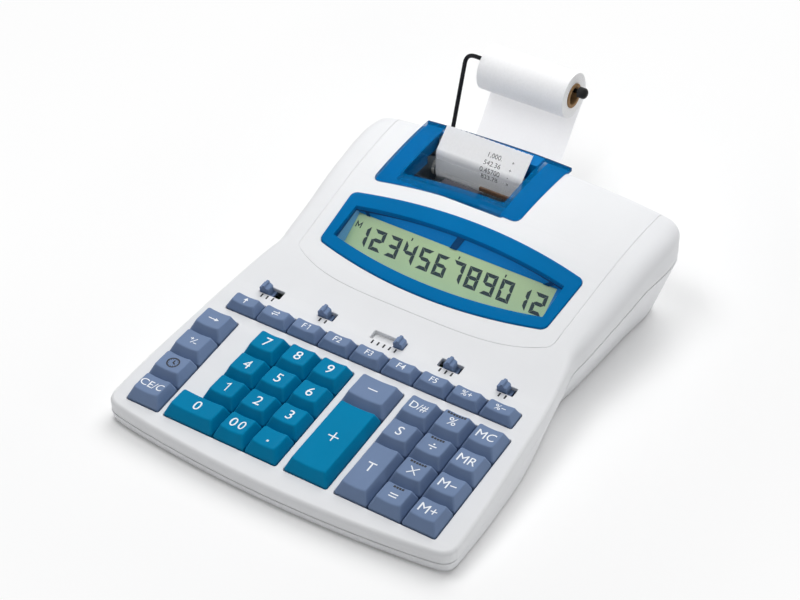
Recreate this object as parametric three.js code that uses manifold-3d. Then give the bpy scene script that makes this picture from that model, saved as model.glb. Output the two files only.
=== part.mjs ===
import * as THREE from "three";
import { mergeVertices } from "three/addons/utils/BufferGeometryUtils.js";
import Module from "manifold-3d";

// A desktop printing calculator with a tilted keyboard, a raised display, a paper printer
// under a tinted cover and a small paper roll on a bent wire arm.
// X runs to the user's right, Y to the back and Z up, in millimetres.
// The case is laid out from its front edge and then centred over the space it stands on.

const wasm = await Module();
wasm.setup();

// Keyboard layout, from its left column to its right block
const key_pitch = 20;
const row_pitch = 18;
const key_gap = 0.7;
const key_front = 13.2;
const left_column_width = 21;
const left_column_gap = 3.1;
const zero_key_extra = 11.7;
const block_columns = 3;
const block_gap = 4.5;
const add_column_width = 26.6;
const add_column_gap = 4;
const plus_key_depth = 51;
const left_margin = 9.5;
const right_margin = 12.4;
const left_block_width = left_column_width + left_column_gap + zero_key_extra + key_pitch * block_columns;
const add_block_width = block_gap + add_column_width + add_column_gap;
const keyboard_width = left_block_width + add_block_width + key_pitch * block_columns;
const case_half_width = (left_margin + keyboard_width + right_margin) / 2;
const left_column_x = left_margin - case_half_width;
const number_block_x = left_column_x + left_column_width + left_column_gap + zero_key_extra;
const add_column_x = number_block_x + key_pitch * block_columns + block_gap;
const right_block_x = add_column_x + add_column_width + add_column_gap;
const top_row_front = 91.6;
const top_row_depth = 11;
const top_row_columns = 9;

// Case
const front_height = 13;
const deck_length = 118;
const deck_tilt = THREE.MathUtils.degToRad(8.7);
const head_length = 82;
const crown_length = 66;
const case_depth = deck_length + head_length + crown_length;
const head_tilt = THREE.MathUtils.degToRad(14.4);
const crown_rise = 7.6;
const wall = 2.4;
const front_edge_radius = 2.2;
const head_edge_radius = 9;
const parting_front_height = 6;
const parting_waist_height = 25;
const parting_back_height = 37.5;
const parting_gap = 0.4;
const base_inset = 0.4;
const base_foot_lean = 0.8;
const base_draft_share = 0.3;
const draft_start_share = 0.26;
const draft_end_share = 0.51;
const floor_thickness = 1.8;
const foot_height = 1;
const foot_radius = 7;
const foot_inset = 15;
const seam_width = 0.8;
const seam_depth = 0.7;
const seam_front_y = 133;
const seam_bulge = 13;
const seam_corner_x = 81;
const seam_corner_radius = 5;
const seam_back_x = 86;

// Half outline of the case from the middle of the front to the middle of the back,
// as shares of the half width and the depth.
const outline_shares = [
  [0, 0],
  [0.28, 0.0022],
  [0.52, 0.0075],
  [0.72, 0.0143],
  [0.86, 0.0208],
  [0.943, 0.0267],
  [0.982, 0.0362],
  [0.997, 0.049],
  [1, 0.068],
  [0.993, 0.15],
  [0.979, 0.225],
  [0.963, 0.3],
  [0.946, 0.38],
  [0.926, 0.45],
  [0.9, 0.515],
  [0.884, 0.553],
  [0.897, 0.6],
  [0.912, 0.67],
  [0.926, 0.74],
  [0.937, 0.81],
  [0.947, 0.875],
  [0.947, 0.908],
  [0.936, 0.938],
  [0.907, 0.959],
  [0.848, 0.972],
  [0.714, 0.981],
  [0.5455, 0.9885],
  [0.347, 0.9945],
  [0.1686, 0.998],
  [0, 1],
];
const waist_depth_share = 0.553;
const level_depth_share = 0.805;

// Fits
const clearance = 0.3;
const slide_clearance = 0.5;
const overrun = 20;

// Keys
const key_height = 6.6;
const key_back_height = 5.6;
const key_shoulder = 0.7;
const key_skirt = 3.4;
const key_side_setback = 2.7;
const key_front_setback = 4.2;
const key_back_setback = 1;
const key_corner = 1.1;
const key_dish = 0.9;
const low_key_height = 5.4;
const low_key_back_height = 5;
const low_key_front_setback = 2.6;
const stem_width = 5;

// Key mat and circuit board under the deck
const dome_depth = 5.4;
const mat_depth = 8.6;
const mat_thickness = 0.9;
const dome_radius = 4;
const board_thickness = 1.4;
const mat_margin = 1.2;
const board_gap = 3.2;
const post_radius = 3;
const post_inset = 8;

// Slide switches
const switch_step = 3.6;
const knob_width = 5.8;
const knob_depth = 5;
const knob_height = 5.2;
const knob_ridge_width = 1.8;
const knob_ridge_height = 1.6;
const slot_depth = 5.8;
const slot_centre = 113.4;
const slider_margin = 1.6;
const slider_thickness = 1.3;
const switch_specs = [
  { name: "switch_print", centre_share: -0.411, positions: 3, rest: 0 },
  { name: "switch_sum", centre_share: -0.208, positions: 2, rest: 0 },
  { name: "switch_decimals", centre_share: 0.009, positions: 5, rest: 4 },
  { name: "switch_rounding", centre_share: 0.223, positions: 3, rest: 1 },
  { name: "switch_rate", centre_share: 0.413, positions: 2, rest: 0 },
];

// Display
const lens_setback = 36;
const lens_height = 36.5;
const lens_bottom_half_width = 72;
const lens_top_half_width = 74;
const lens_bottom_y = deck_length + lens_setback;
const lens_top_y = lens_bottom_y + lens_height;
const lens_bulge = 9.5;
const lens_proud = 0.8;
const lens_thickness = 2.4;
const boss_depth = 4.6;
const boss_margin = 3;
const view_setback = 6;
const view_height = 22.5;
const view_half_width = 66.5;
const view_bottom_y = lens_bottom_y + view_setback;
const view_top_y = view_bottom_y + view_height;
const view_bulge = 7.8;
const view_crown = 6.9;
const lcd_centre = -2.7;
const lcd_half_width = 65;
const lcd_length = 25;
const lcd_overlap = 2;
const lcd_thickness = 1.8;
const lcd_tilt = THREE.MathUtils.degToRad(34);

// Printer cover and bay
const cover_left = -69.6;
const cover_right = 22;
const cover_gap = 11;
const cover_corner = 5;
const cover_proud = 0.6;
const cover_thickness = 2.2;
const cover_back_inset = 0.6;
const slot_left = -58;
const slot_right = 8;
const slot_band = 2;
const slot_front = lens_top_y + lens_bulge + cover_gap + slot_band;
const skirt_thickness = 1.4;
const ledge = 3.6;

// Paper
const paper_width = 57;
const paper_centre = -26.5;
const paper_thickness = 0.5;
const roll_radius = 13.5;
const core_radius = 7.3;
const core_wall = 2;
const roll_reach = 36.6;
const roll_y = case_depth + roll_reach;
const roll_z = 80;
const web_landing_reach = 27;
const web_landing_y = case_depth + web_landing_reach;
const web_landing_z = 42.5;
const web_foot_reach = 15;
const web_foot_y = case_depth + web_foot_reach;
const web_foot_z = 33.4;
const crease_z = 52.5;
const tail_length = 17.5;
const tail_lean = THREE.MathUtils.degToRad(46);

// Roll arm
const wire_radius = 1.3;
const arm_x = -70;
const arm_root_depth = 14;
const arm_root_y = case_depth - arm_root_depth;
const arm_z = 30;
const arm_foot_reach = 20;
const arm_foot_y = case_depth + arm_foot_reach;
const arm_bend = 6;
const cap_radius = 3.2;
const cap_length = 5.5;
const cap_reach = 3;
const wire_end_reach = 4;

// Printer
const platen_radius = 5.5;
const platen_inset = 13.5;
const platen_y = case_depth - platen_inset;
const platen_z = 38;
const shaft_radius = 1.6;
const cheek_thickness = 2;
const cheek_setback = 1;
const cheek_front = slot_front + cheek_setback;
const cheek_top = 50;
const chassis_z = 22;
const block_reach_share = 0.6076;
const block_back = THREE.MathUtils.lerp(slot_front, platen_y, block_reach_share);
const block_top = 39.5;
const ink_radius = 5;
const ink_width = 24;
const ink_place_share = 0.367;
const ink_y = THREE.MathUtils.lerp(slot_front, platen_y, ink_place_share);
const ink_z = 45.2;
const ink_shaft_radius = 1.2;
const tear_setback = 9.9;
const tear_y = platen_y - tear_setback;
const tear_bottom = 43.5;
const tear_top = 51.5;
const tear_thickness = 1;
const tear_tooth = 1.2;
const tear_teeth = 22;

// Power inlet
const inlet_x = 58;
const inlet_z = 18;
const inlet_width = 14;
const inlet_height = 11;
const inlet_depth = 11;
const inlet_bore = 3.2;
const inlet_bore_depth = 8;

// Looks
const looks = {
  case: { color: 0xe8e9ec, roughness: 0.5, metalness: 0 },
  blue_key: { color: 0x0082be, roughness: 0.4, metalness: 0 },
  grey_key: { color: 0x808eb2, roughness: 0.45, metalness: 0 },
  tinted: { color: 0x0073b9, roughness: 0.15, metalness: 0 },
  lcd: { color: 0xa5be9b, roughness: 0.3, metalness: 0 },
  paper: { color: 0xf0f0f2, roughness: 0.8, metalness: 0 },
  card: { color: 0x7d5f3c, roughness: 0.85, metalness: 0 },
  wire: { color: 0x3a3a3e, roughness: 0.25, metalness: 1 },
  black: { color: 0x141416, roughness: 0.4, metalness: 0 },
  rubber: { color: 0x26262a, roughness: 0.8, metalness: 0 },
  mechanism: { color: 0x8c9094, roughness: 0.4, metalness: 0.6 },
  clear: { color: 0xd2dce0, roughness: 0.15, metalness: 0 },
  board: { color: 0x2f6b3c, roughness: 0.6, metalness: 0 },
  mat: { color: 0xc8ccd0, roughness: 0.8, metalness: 0 },
};

const model = new THREE.Group();
const deck_group = new THREE.Group();
model.add(deck_group);

function toSolid(geometry) {
  const bare = geometry.index ? geometry.toNonIndexed() : geometry.clone();
  bare.deleteAttribute("normal");
  bare.deleteAttribute("uv");
  const merged = mergeVertices(bare, 1e-4);
  const mesh = new wasm.Mesh({
    numProp: 3,
    vertProperties: new Float32Array(merged.attributes.position.array),
    triVerts: new Uint32Array(merged.index.array),
  });
  return new wasm.Manifold(mesh);
}

function toGeometry(solid) {
  const mesh = solid.getMesh();
  const geometry = new THREE.BufferGeometry();
  geometry.setAttribute("position", new THREE.BufferAttribute(new Float32Array(mesh.vertProperties), 3));
  geometry.setIndex(new THREE.BufferAttribute(new Uint32Array(mesh.triVerts), 1));
  geometry.computeVertexNormals();
  return geometry;
}

function addMesh(name, geometry, look, parent = model) {
  const mesh = new THREE.Mesh(geometry, new THREE.MeshStandardMaterial(look));
  mesh.name = name;
  parent.add(mesh);
  return mesh;
}

// A box given by its two opposite corners.
function boxBetween(x0, x1, y0, y1, z0, z1) {
  const box = new THREE.BoxGeometry(x1 - x0, y1 - y0, z1 - z0);
  box.translate((x0 + x1) / 2, (y0 + y1) / 2, (z0 + z1) / 2);
  return box;
}

// An upright prism over a closed outline of [x, y] points.
function prism(points, z0, z1) {
  const shape = new THREE.Shape(points.map(([x, y]) => new THREE.Vector2(x, y)));
  const body = new THREE.ExtrudeGeometry(shape, { depth: z1 - z0, bevelEnabled: false, steps: 1 });
  body.translate(0, 0, z0);
  return body;
}

// A solid swept along X over a closed outline of [y, z] points.
function crossPrism(points, x0, x1) {
  const shape = new THREE.Shape(points.map(([y, z]) => new THREE.Vector2(y, z)));
  const body = new THREE.ExtrudeGeometry(shape, { depth: x1 - x0, bevelEnabled: false, steps: 1 });
  const turn = new THREE.Matrix4().makeBasis(
    new THREE.Vector3(0, 1, 0),
    new THREE.Vector3(0, 0, 1),
    new THREE.Vector3(1, 0, 0),
  );
  body.applyMatrix4(turn);
  body.translate(x0, 0, 0);
  return body;
}

// A cylinder along X between two stations.
function rodAlongX(radius, x0, x1, y, z, sides) {
  const rod = new THREE.CylinderGeometry(radius, radius, x1 - x0, sides);
  rod.rotateZ(Math.PI / 2);
  rod.translate((x0 + x1) / 2, y, z);
  return rod;
}

// Moves every point of a closed outline inwards by a distance that may change along it.
function insetOutline(points, distanceAt) {
  const count = points.length;
  return points.map(([x, y], i) => {
    const [px, py] = points[(i + count - 1) % count];
    const [nx, ny] = points[(i + 1) % count];
    const before = new THREE.Vector2(y - py, px - x).normalize();
    const after = new THREE.Vector2(ny - y, x - nx).normalize();
    const normal = before.clone().add(after).normalize();
    const sharpest_share = 0.5;
    const reach = distanceAt(x, y, i) / Math.max(normal.dot(before), sharpest_share);
    return [x - normal.x * reach, y - normal.y * reach];
  });
}

// Closed body through stacked rings, with its ends closed by the given rows of triangles.
function ringBody(rings, capRows) {
  const count = rings[0].length;
  const positions = rings.flat(2);
  const index = [];
  for (let r = 0; r < rings.length - 1; r += 1) {
    for (let i = 0; i < count; i += 1) {
      const a = r * count + i;
      const b = r * count + ((i + 1) % count);
      index.push(a, b, b + count, a, b + count, a + count);
    }
  }
  const last = (rings.length - 1) * count;
  for (const [a, b, c] of capRows(count)) {
    index.push(c, b, a);
    index.push(last + a, last + b, last + c);
  }
  const geometry = new THREE.BufferGeometry();
  geometry.setAttribute("position", new THREE.Float32BufferAttribute(positions, 3));
  geometry.setIndex(index);
  return geometry;
}

// Cap triangles of a ring whose points mirror across the Y axis.
function mirroredRows(count) {
  const half = count / 2;
  const rows = [[0, 1, count - 1]];
  for (let i = 1; i < half - 1; i += 1) {
    rows.push([count - i, i, i + 1]);
    rows.push([count - i, i + 1, count - i - 1]);
  }
  rows.push([half + 1, half - 1, half]);
  return rows;
}

// Heights of the case

const deck_end_height = front_height + deck_length * Math.tan(deck_tilt);
const head_end_y = deck_length + head_length;
const head_end_height = deck_end_height + head_length * Math.tan(head_tilt);
const waist_y = case_depth * waist_depth_share;
const level_y = case_depth * level_depth_share;

function topHeight(y) {
  if (y <= deck_length) return front_height + y * Math.tan(deck_tilt);
  if (y <= head_end_y) return deck_end_height + (y - deck_length) * Math.tan(head_tilt);
  const along = Math.min((y - head_end_y) / (case_depth - head_end_y), 1);
  return head_end_height + crown_rise * (1 - (1 - along) ** 2);
}

function partingHeight(y) {
  if (y <= waist_y) return THREE.MathUtils.lerp(parting_front_height, parting_waist_height, y / waist_y);
  const along = Math.min((y - waist_y) / (level_y - waist_y), 1);
  return THREE.MathUtils.lerp(parting_waist_height, parting_back_height, along);
}

function edgeRadius(y) {
  const along = THREE.MathUtils.smoothstep(y, deck_length, waist_y + (level_y - waist_y) / 2);
  return THREE.MathUtils.lerp(front_edge_radius, head_edge_radius, along);
}

function caseOutline() {
  const right = outline_shares.map(([x, y]) => [x * case_half_width, y * case_depth]);
  const left = right.slice(1, -1).reverse().map(([x, y]) => [-x, y]);
  return [...right, ...left];
}

// Half width of the case at a distance from its front.
function halfWidthAt(y) {
  const along = y / case_depth;
  const next = outline_shares.findIndex(([, depth_share]) => depth_share > along);
  const [x0, y0] = outline_shares[next - 1];
  const [x1, y1] = outline_shares[next];
  return case_half_width * THREE.MathUtils.lerp(x0, x1, (along - y0) / (y1 - y0));
}

function backEdgeAt(x) {
  const side = Math.abs(x) / case_half_width;
  const back = outline_shares.filter(([, y]) => y > level_depth_share).reverse();
  for (let i = 0; i < back.length - 1; i += 1) {
    const [x0, y0] = back[i];
    const [x1, y1] = back[i + 1];
    if (side >= x0 && side <= x1) {
      return case_depth * THREE.MathUtils.lerp(y0, y1, (side - x0) / (x1 - x0));
    }
  }
  return case_depth;
}

// A layer that follows the top of the case between two depths below it.
function topLayer(depth0, depth1) {
  const steps = 12;
  const stations = [-overrun, deck_length, head_end_y];
  for (let i = 1; i <= steps; i += 1) {
    stations.push(head_end_y + ((case_depth - head_end_y) * i) / steps);
  }
  stations.push(case_depth + overrun);
  const lower = stations.map((y) => [y, topHeight(y) - depth1]);
  const upper = stations.map((y) => [y, topHeight(y) - depth0]).reverse();
  const reach = case_half_width + overrun;
  return toSolid(crossPrism([...lower, ...upper], -reach, reach));
}

function layerOver(points, depth0, depth1) {
  const tall = toSolid(prism(points, 0, head_end_height + crown_rise + overrun));
  return tall.intersect(topLayer(depth0, depth1));
}

// Outlines on the head

function lensOutline() {
  const steps = 10;
  const corner_share = 0.965;
  const side_share = 0.09;
  const points = [];
  const rise = lens_top_y - lens_bottom_y;
  for (let i = 0; i <= steps; i += 1) {
    const t = ((2 * i) / steps - 1) * corner_share;
    points.push([t * lens_bottom_half_width, lens_bottom_y - lens_bulge * (1 - t * t)]);
  }
  points.push([lens_bottom_half_width, lens_bottom_y + rise * side_share]);
  points.push([lens_top_half_width, lens_top_y - rise * side_share]);
  for (let i = 0; i <= steps; i += 1) {
    const t = (1 - (2 * i) / steps) * corner_share;
    points.push([t * lens_top_half_width, lens_top_y + lens_bulge * (1 - t * t)]);
  }
  points.push([-lens_top_half_width, lens_top_y - rise * side_share]);
  points.push([-lens_bottom_half_width, lens_bottom_y + rise * side_share]);
  return points;
}

function viewOutline() {
  const steps = 8;
  const points = [];
  for (let i = 0; i <= steps; i += 1) {
    const t = (2 * i) / steps - 1;
    points.push([t * view_half_width, view_bottom_y - view_bulge * (1 - t * t)]);
  }
  for (let i = 0; i <= steps; i += 1) {
    const t = 1 - (2 * i) / steps;
    points.push([t * view_half_width, view_top_y + view_crown * (1 - t * t)]);
  }
  return points;
}

function coverFrontAt(x) {
  const t = x / lens_top_half_width;
  return lens_top_y + lens_bulge * (1 - t * t) + cover_gap;
}

function coverOutline(back_inset, with_slot) {
  const steps = 6;
  const points = [];
  const x0 = cover_left + cover_corner;
  const x1 = cover_right - cover_corner;
  for (let i = 0; i <= steps; i += 1) {
    const x = x0 + ((x1 - x0) * i) / steps;
    points.push([x, coverFrontAt(x)]);
  }
  const corner_share = 0.3;
  const near = cover_corner * corner_share;
  points.push([cover_right - near, coverFrontAt(cover_right) + near]);
  points.push([cover_right, coverFrontAt(cover_right) + cover_corner]);
  points.push([cover_right, backEdgeAt(cover_right) - back_inset]);
  if (with_slot) {
    points.push([slot_right, backEdgeAt(slot_right) - back_inset]);
    points.push([slot_right, slot_front]);
    points.push([slot_left, slot_front]);
    points.push([slot_left, backEdgeAt(slot_left) - back_inset]);
  }
  points.push([cover_left, backEdgeAt(cover_left) - back_inset]);
  points.push([cover_left, coverFrontAt(cover_left) + cover_corner]);
  points.push([cover_left + near, coverFrontAt(cover_left) + near]);
  return points;
}

// Keyboard places, all in the deck's own frame: x across, u up the slope, zero on its surface

function keyPlaces() {
  const list = [];
  const place = (name, look, x0, x1, u0, u1, low) => {
    list.push({ name, look, x0, x1, u0, u1, low: Boolean(low) });
  };
  const row = (i) => key_front + i * row_pitch;
  ["key_clear", "key_clock", "key_sign", "key_shift"].forEach((name, i) => {
    place(name, "grey_key", left_column_x, left_column_x + left_column_width, row(i), row(i + 1));
  });
  const column = (i) => number_block_x + i * key_pitch;
  place("key_0", "blue_key", column(0) - zero_key_extra, column(1), row(0), row(1));
  place("key_00", "blue_key", column(1), column(2), row(0), row(1));
  place("key_point", "blue_key", column(2), column(3), row(0), row(1));
  for (let i = 0; i < 9; i += 1) {
    const r = Math.floor(i / 3) + 1;
    const c = i % 3;
    place(`key_${i + 1}`, "blue_key", column(c), column(c + 1), row(r), row(r + 1));
  }
  const add_right = add_column_x + add_column_width;
  place("key_plus", "blue_key", add_column_x, add_right, key_front, key_front + plus_key_depth);
  place("key_minus", "grey_key", add_column_x, add_right, key_front + plus_key_depth, row(4));
  const right = (i) => right_block_x + i * key_pitch;
  place("key_total", "grey_key", right(0), right(1), row(0), row(2));
  place("key_subtotal", "grey_key", right(0), right(1), row(2), row(3));
  place("key_date", "grey_key", right(0), right(1), row(3), row(4));
  ["key_equals", "key_multiply", "key_divide", "key_percent"].forEach((name, i) => {
    place(name, "grey_key", right(1), right(2), row(i), row(i + 1));
  });
  ["key_memory_add", "key_memory_subtract", "key_memory_recall", "key_memory_clear"].forEach((name, i) => {
    place(name, "grey_key", right(2), right(3), row(i), row(i + 1));
  });
  const names = ["feed", "convert", "f1", "f2", "f3", "f4", "f5", "f6", "f7"];
  names.forEach((name, i) => {
    const x0 = (i - top_row_columns / 2) * key_pitch;
    const u1 = top_row_front + top_row_depth;
    place(`key_${name}`, "grey_key", x0, x0 + key_pitch, top_row_front, u1, true);
  });
  return list;
}

// One key: a straight skirt, sloped sides, a dished top and a stem over its rubber dome.
function keyBody(width, depth, low) {
  const front_rise = low ? low_key_height : key_height;
  const back_rise = low ? low_key_back_height : key_back_height;
  const front_setback = low ? low_key_front_setback : key_front_setback;
  const column_shares = [-1, -0.9, -0.45, 0, 0.45, 0.9, 1];
  const ring = (side, front, back, corner, heightAt) => {
    const half = width / 2 - side;
    const y0 = -depth / 2 + front;
    const y1 = depth / 2 - back;
    const points = [];
    column_shares.forEach((share) => {
      const edge = Math.abs(share) === 1;
      const x = edge ? share * half : Math.sign(share) * Math.min(Math.abs(share) * half, half - corner);
      points.push([x, y0 + (edge ? corner : 0), heightAt(0, share)]);
    });
    [...column_shares].reverse().forEach((share) => {
      const edge = Math.abs(share) === 1;
      const x = edge ? share * half : Math.sign(share) * Math.min(Math.abs(share) * half, half - corner);
      points.push([x, y1 - (edge ? corner : 0), heightAt(1, share)]);
    });
    return points;
  };
  const top = (back, share) => {
    const rim = back ? back_rise : front_rise;
    return rim - key_dish * (1 - share * share);
  };
  const rings = [
    ring(0, 0, 0, key_corner, () => -key_skirt),
    ring(0, 0, 0, key_corner, () => key_shoulder),
    ring(key_side_setback, front_setback, key_back_setback, key_corner, top),
  ];
  const count = column_shares.length;
  const across = () => {
    const rows = [];
    for (let i = 0; i < count - 1; i += 1) {
      const far = 2 * count - 1 - i;
      rows.push([i, i + 1, far - 1]);
      rows.push([i, far - 1, far]);
    }
    return rows;
  };
  const cap = toSolid(ringBody(rings, across));
  const half = stem_width / 2;
  const stem = boxBetween(-half, half, -half, half, clearance - dome_depth, -key_skirt + key_shoulder);
  return toGeometry(cap.add(toSolid(stem)));
}

function addKeys(places) {
  for (const spot of places) {
    const width = spot.x1 - spot.x0 - key_gap;
    const depth = spot.u1 - spot.u0 - key_gap;
    const mesh = addMesh(spot.name, keyBody(width, depth, spot.low), looks[spot.look], deck_group);
    mesh.position.set((spot.x0 + spot.x1) / 2, (spot.u0 + spot.u1) / 2, 0);
  }
}

// Wells that the key blocks stand in, as boxes in the deck's frame.
function wellBoxes(places) {
  const groups = [
    ["key_clear", "key_shift"],
    ["key_0", "key_0"],
    ["key_1", "key_9"],
    ["key_00", "key_point"],
    ["key_plus", "key_minus"],
    ["key_total", "key_memory_clear"],
    ["key_feed", "key_f7"],
  ];
  const find = (name) => places.find((spot) => spot.name === name);
  const grow = slide_clearance - key_gap / 2;
  return groups.map(([first, last]) => {
    const a = find(first);
    const b = find(last);
    const u0 = Math.min(a.u0, b.u0) - grow;
    const u1 = Math.max(a.u1, b.u1) + grow;
    return [a.x0 - grow, b.x1 + grow, u0, u1];
  });
}

function inDeckFrame(geometry) {
  geometry.rotateX(deck_tilt);
  geometry.translate(0, 0, front_height);
  return toSolid(geometry);
}

function switchTravel(spec) {
  return (spec.positions - 1) * switch_step;
}

function switchCentre(spec) {
  return spec.centre_share * top_row_columns * key_pitch;
}

function slotHalfLength(spec) {
  return (switchTravel(spec) + knob_width) / 2 + clearance;
}

function addSwitches() {
  for (const spec of switch_specs) {
    const half = knob_width / 2;
    const neck = knob_depth / 2;
    const plate_top = -wall - clearance;
    const plate_bottom = plate_top - slider_thickness;
    const plate_half = half + slider_margin;
    const plate_reach = slot_depth / 2 + slider_margin;
    const ridge = knob_ridge_width / 2;
    const grip = toSolid(boxBetween(-half, half, -neck, neck, plate_top, knob_height - knob_ridge_height));
    const rib = toSolid(boxBetween(-ridge, ridge, -neck, neck, 0, knob_height));
    const plate = toSolid(
      boxBetween(-plate_half, plate_half, -plate_reach, plate_reach, plate_bottom, plate_top),
    );
    const mesh = addMesh(spec.name, toGeometry(grip.add(rib).add(plate)), looks.grey_key, deck_group);
    const offset = spec.rest * switch_step - switchTravel(spec) / 2;
    mesh.position.set(switchCentre(spec) + offset, slot_centre, 0);
  }
}

// Upper half of the case

function upperShell() {
  const outline = caseOutline();
  const lift = (points, heightOf) => points.map(([x, y], i) => [x, y, heightOf(outline[i][1], y)]);
  const rings = [];
  rings.push(lift(outline, (y) => partingHeight(y)));
  const edge_steps = 4;
  for (let i = 0; i <= edge_steps; i += 1) {
    const angle = (Math.PI / 2) * (i / edge_steps);
    const moved = insetOutline(outline, (x, y) => edgeRadius(y) * (1 - Math.cos(angle)));
    rings.push(lift(moved, (y0, y) => topHeight(y) - edgeRadius(y0) * (1 - Math.sin(angle))));
  }
  return toSolid(ringBody(rings, mirroredRows));
}

function upperHollow() {
  const outline = caseOutline();
  const lift = (points, heightOf) => points.map(([x, y], i) => [x, y, heightOf(outline[i][1], y)]);
  const side = insetOutline(outline, () => wall);
  const rim = insetOutline(outline, (x, y) => wall + edgeRadius(y) / 2);
  return toSolid(
    ringBody(
      [
        lift(side, (y) => partingHeight(y) - wall),
        lift(side, (y0, y) => topHeight(y) - wall - edgeRadius(y0)),
        lift(rim, (y0, y) => topHeight(y) - wall),
      ],
      mirroredRows,
    ),
  );
}

// The seam round the display and printer: up one side, across in an arc and up the other.
function seamBand() {
  const steps = 8;
  const corner_share = 0.97;
  const corner_y = seam_front_y + seam_bulge + seam_corner_radius;
  const line = [];
  for (let i = 0; i <= steps; i += 1) {
    const t = ((2 * i) / steps - 1) * corner_share;
    line.push([t * seam_corner_x, seam_front_y + seam_bulge * t ** 4]);
  }
  line.push([seam_corner_x, corner_y]);
  line.push([seam_back_x, case_depth + overrun]);
  line.push([-seam_back_x, case_depth + overrun]);
  line.push([-seam_corner_x, corner_y]);
  const outer = insetOutline(line, () => -seam_width / 2);
  const inner = insetOutline(line, () => seam_width / 2);
  return layerOver(outer, -overrun, seam_depth).subtract(layerOver(inner, -overrun, seam_depth + overrun));
}

function addUpperCase(places) {
  const lens = lensOutline();
  const cover = coverOutline(-overrun, false);
  const grown = (points, by) => insetOutline(points, () => -by);
  const lens_boss = layerOver(grown(lens, boss_margin), wall / 2, boss_depth);
  const bay_boss = layerOver(grown(cover, boss_margin), wall / 2, boss_depth);
  const hollow = upperHollow().subtract(lens_boss).subtract(bay_boss);
  let shell = upperShell().subtract(hollow);
  shell = shell.subtract(layerOver(grown(lens, clearance), -overrun, lens_thickness - lens_proud + clearance));
  shell = shell.subtract(layerOver(viewOutline(), -overrun, boss_depth + overrun));
  shell = shell.subtract(layerOver(grown(cover, clearance), -overrun, cover_thickness - cover_proud + clearance));
  const bay = boxBetween(
    slot_left - ledge,
    slot_right + ledge,
    slot_front - ledge,
    backEdgeAt(slot_left) - wall - head_edge_radius / 4,
    0,
    case_depth,
  );
  shell = shell.subtract(toSolid(bay));
  for (const [x0, x1, u0, u1] of wellBoxes(places)) {
    shell = shell.subtract(inDeckFrame(boxBetween(x0, x1, u0, u1, -wall * 2, key_height)));
  }
  for (const spec of switch_specs) {
    const half = slotHalfLength(spec);
    const reach = slot_depth / 2;
    const x = switchCentre(spec);
    const slot = boxBetween(x - half, x + half, slot_centre - reach, slot_centre + reach, -wall * 2, key_height);
    shell = shell.subtract(inDeckFrame(slot));
  }
  shell = shell.subtract(seamBand());
  addMesh("upper_case", toGeometry(shell), looks.case);
}

// Lower half of the case

// How far the wall of the base leans in from its rim down to the floor: a little at the
// front, far more below the head.
function leanAt(y) {
  const start = case_depth * draft_start_share;
  const end = case_depth * draft_end_share;
  const along = THREE.MathUtils.smoothstep(y, start, end);
  return THREE.MathUtils.lerp(base_foot_lean, base_draft_share * partingHeight(y), along);
}

function lowerRing(inset, heightOf, drop) {
  const outline = caseOutline();
  const moved = insetOutline(outline, (x, y) => inset + (drop ? leanAt(y) : 0));
  return moved.map(([x, y], i) => [x, y, heightOf(outline[i][1])]);
}

function boardUnderside(y) {
  const depth = (mat_depth + mat_thickness + clearance + board_thickness) / Math.cos(deck_tilt);
  return front_height + y * Math.tan(deck_tilt) - depth;
}

const board_front = key_front - key_gap;
const board_back = slot_centre + slot_depth;
const board_half_width = halfWidthAt(board_back) - base_inset - wall - board_gap;

function addLowerCase() {
  const outer = toSolid(
    ringBody(
      [
        lowerRing(base_inset, () => foot_height, true),
        lowerRing(base_inset, (y) => partingHeight(y) - parting_gap, false),
      ],
      mirroredRows,
    ),
  );
  const hollow = toSolid(
    ringBody(
      [
        lowerRing(base_inset + wall, () => foot_height + floor_thickness, true),
        lowerRing(base_inset + wall, (y) => partingHeight(y) + wall, false),
      ],
      mirroredRows,
    ),
  );
  let shell = outer.subtract(hollow);
  const floor_top = foot_height + floor_thickness;
  const post_spots = [
    [-1, board_front + post_inset],
    [1, board_front + post_inset],
    [-1, board_back - post_inset],
    [1, board_back - post_inset],
  ];
  for (const [side, y] of post_spots) {
    const top = boardUnderside(y - post_radius) - clearance;
    const height = top - foot_height;
    const post = new THREE.CylinderGeometry(post_radius, post_radius, height, 12);
    post.rotateX(Math.PI / 2);
    post.translate(side * (board_half_width - post_inset * 2), y, foot_height + height / 2);
    if (top > floor_top) shell = shell.add(toSolid(post));
  }
  for (const side of [-1, 1]) {
    for (const y of [foot_inset, case_depth - foot_inset * 2]) {
      const foot = new THREE.CylinderGeometry(foot_radius, foot_radius, foot_height * 2, 20);
      foot.rotateX(Math.PI / 2);
      foot.translate(side * (case_half_width - foot_inset * 2), y, foot_height);
      shell = shell.add(toSolid(foot));
    }
  }
  const half = paper_width / 2 + clearance * 4;
  const path_z = platen_z - platen_radius - clearance - paper_thickness / 2;
  const gap = clearance * 4;
  const throat = boxBetween(
    paper_centre - half,
    paper_centre + half,
    platen_y,
    case_depth + overrun,
    path_z - gap,
    path_z + gap,
  );
  shell = shell.subtract(toSolid(throat));
  const socket = new THREE.CylinderGeometry(wire_radius + clearance, wire_radius + clearance, overrun * 2, 10);
  socket.translate(arm_x, case_depth, arm_z);
  shell = shell.subtract(toSolid(socket));
  const mouth = boxBetween(
    inlet_x - inlet_width / 2 - clearance,
    inlet_x + inlet_width / 2 + clearance,
    case_depth - overrun,
    case_depth + overrun,
    inlet_z - inlet_height / 2 - clearance,
    inlet_z + inlet_height / 2 + clearance,
  );
  shell = shell.subtract(toSolid(mouth));
  addMesh("lower_case", toGeometry(shell), looks.case);
}

// Display

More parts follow.
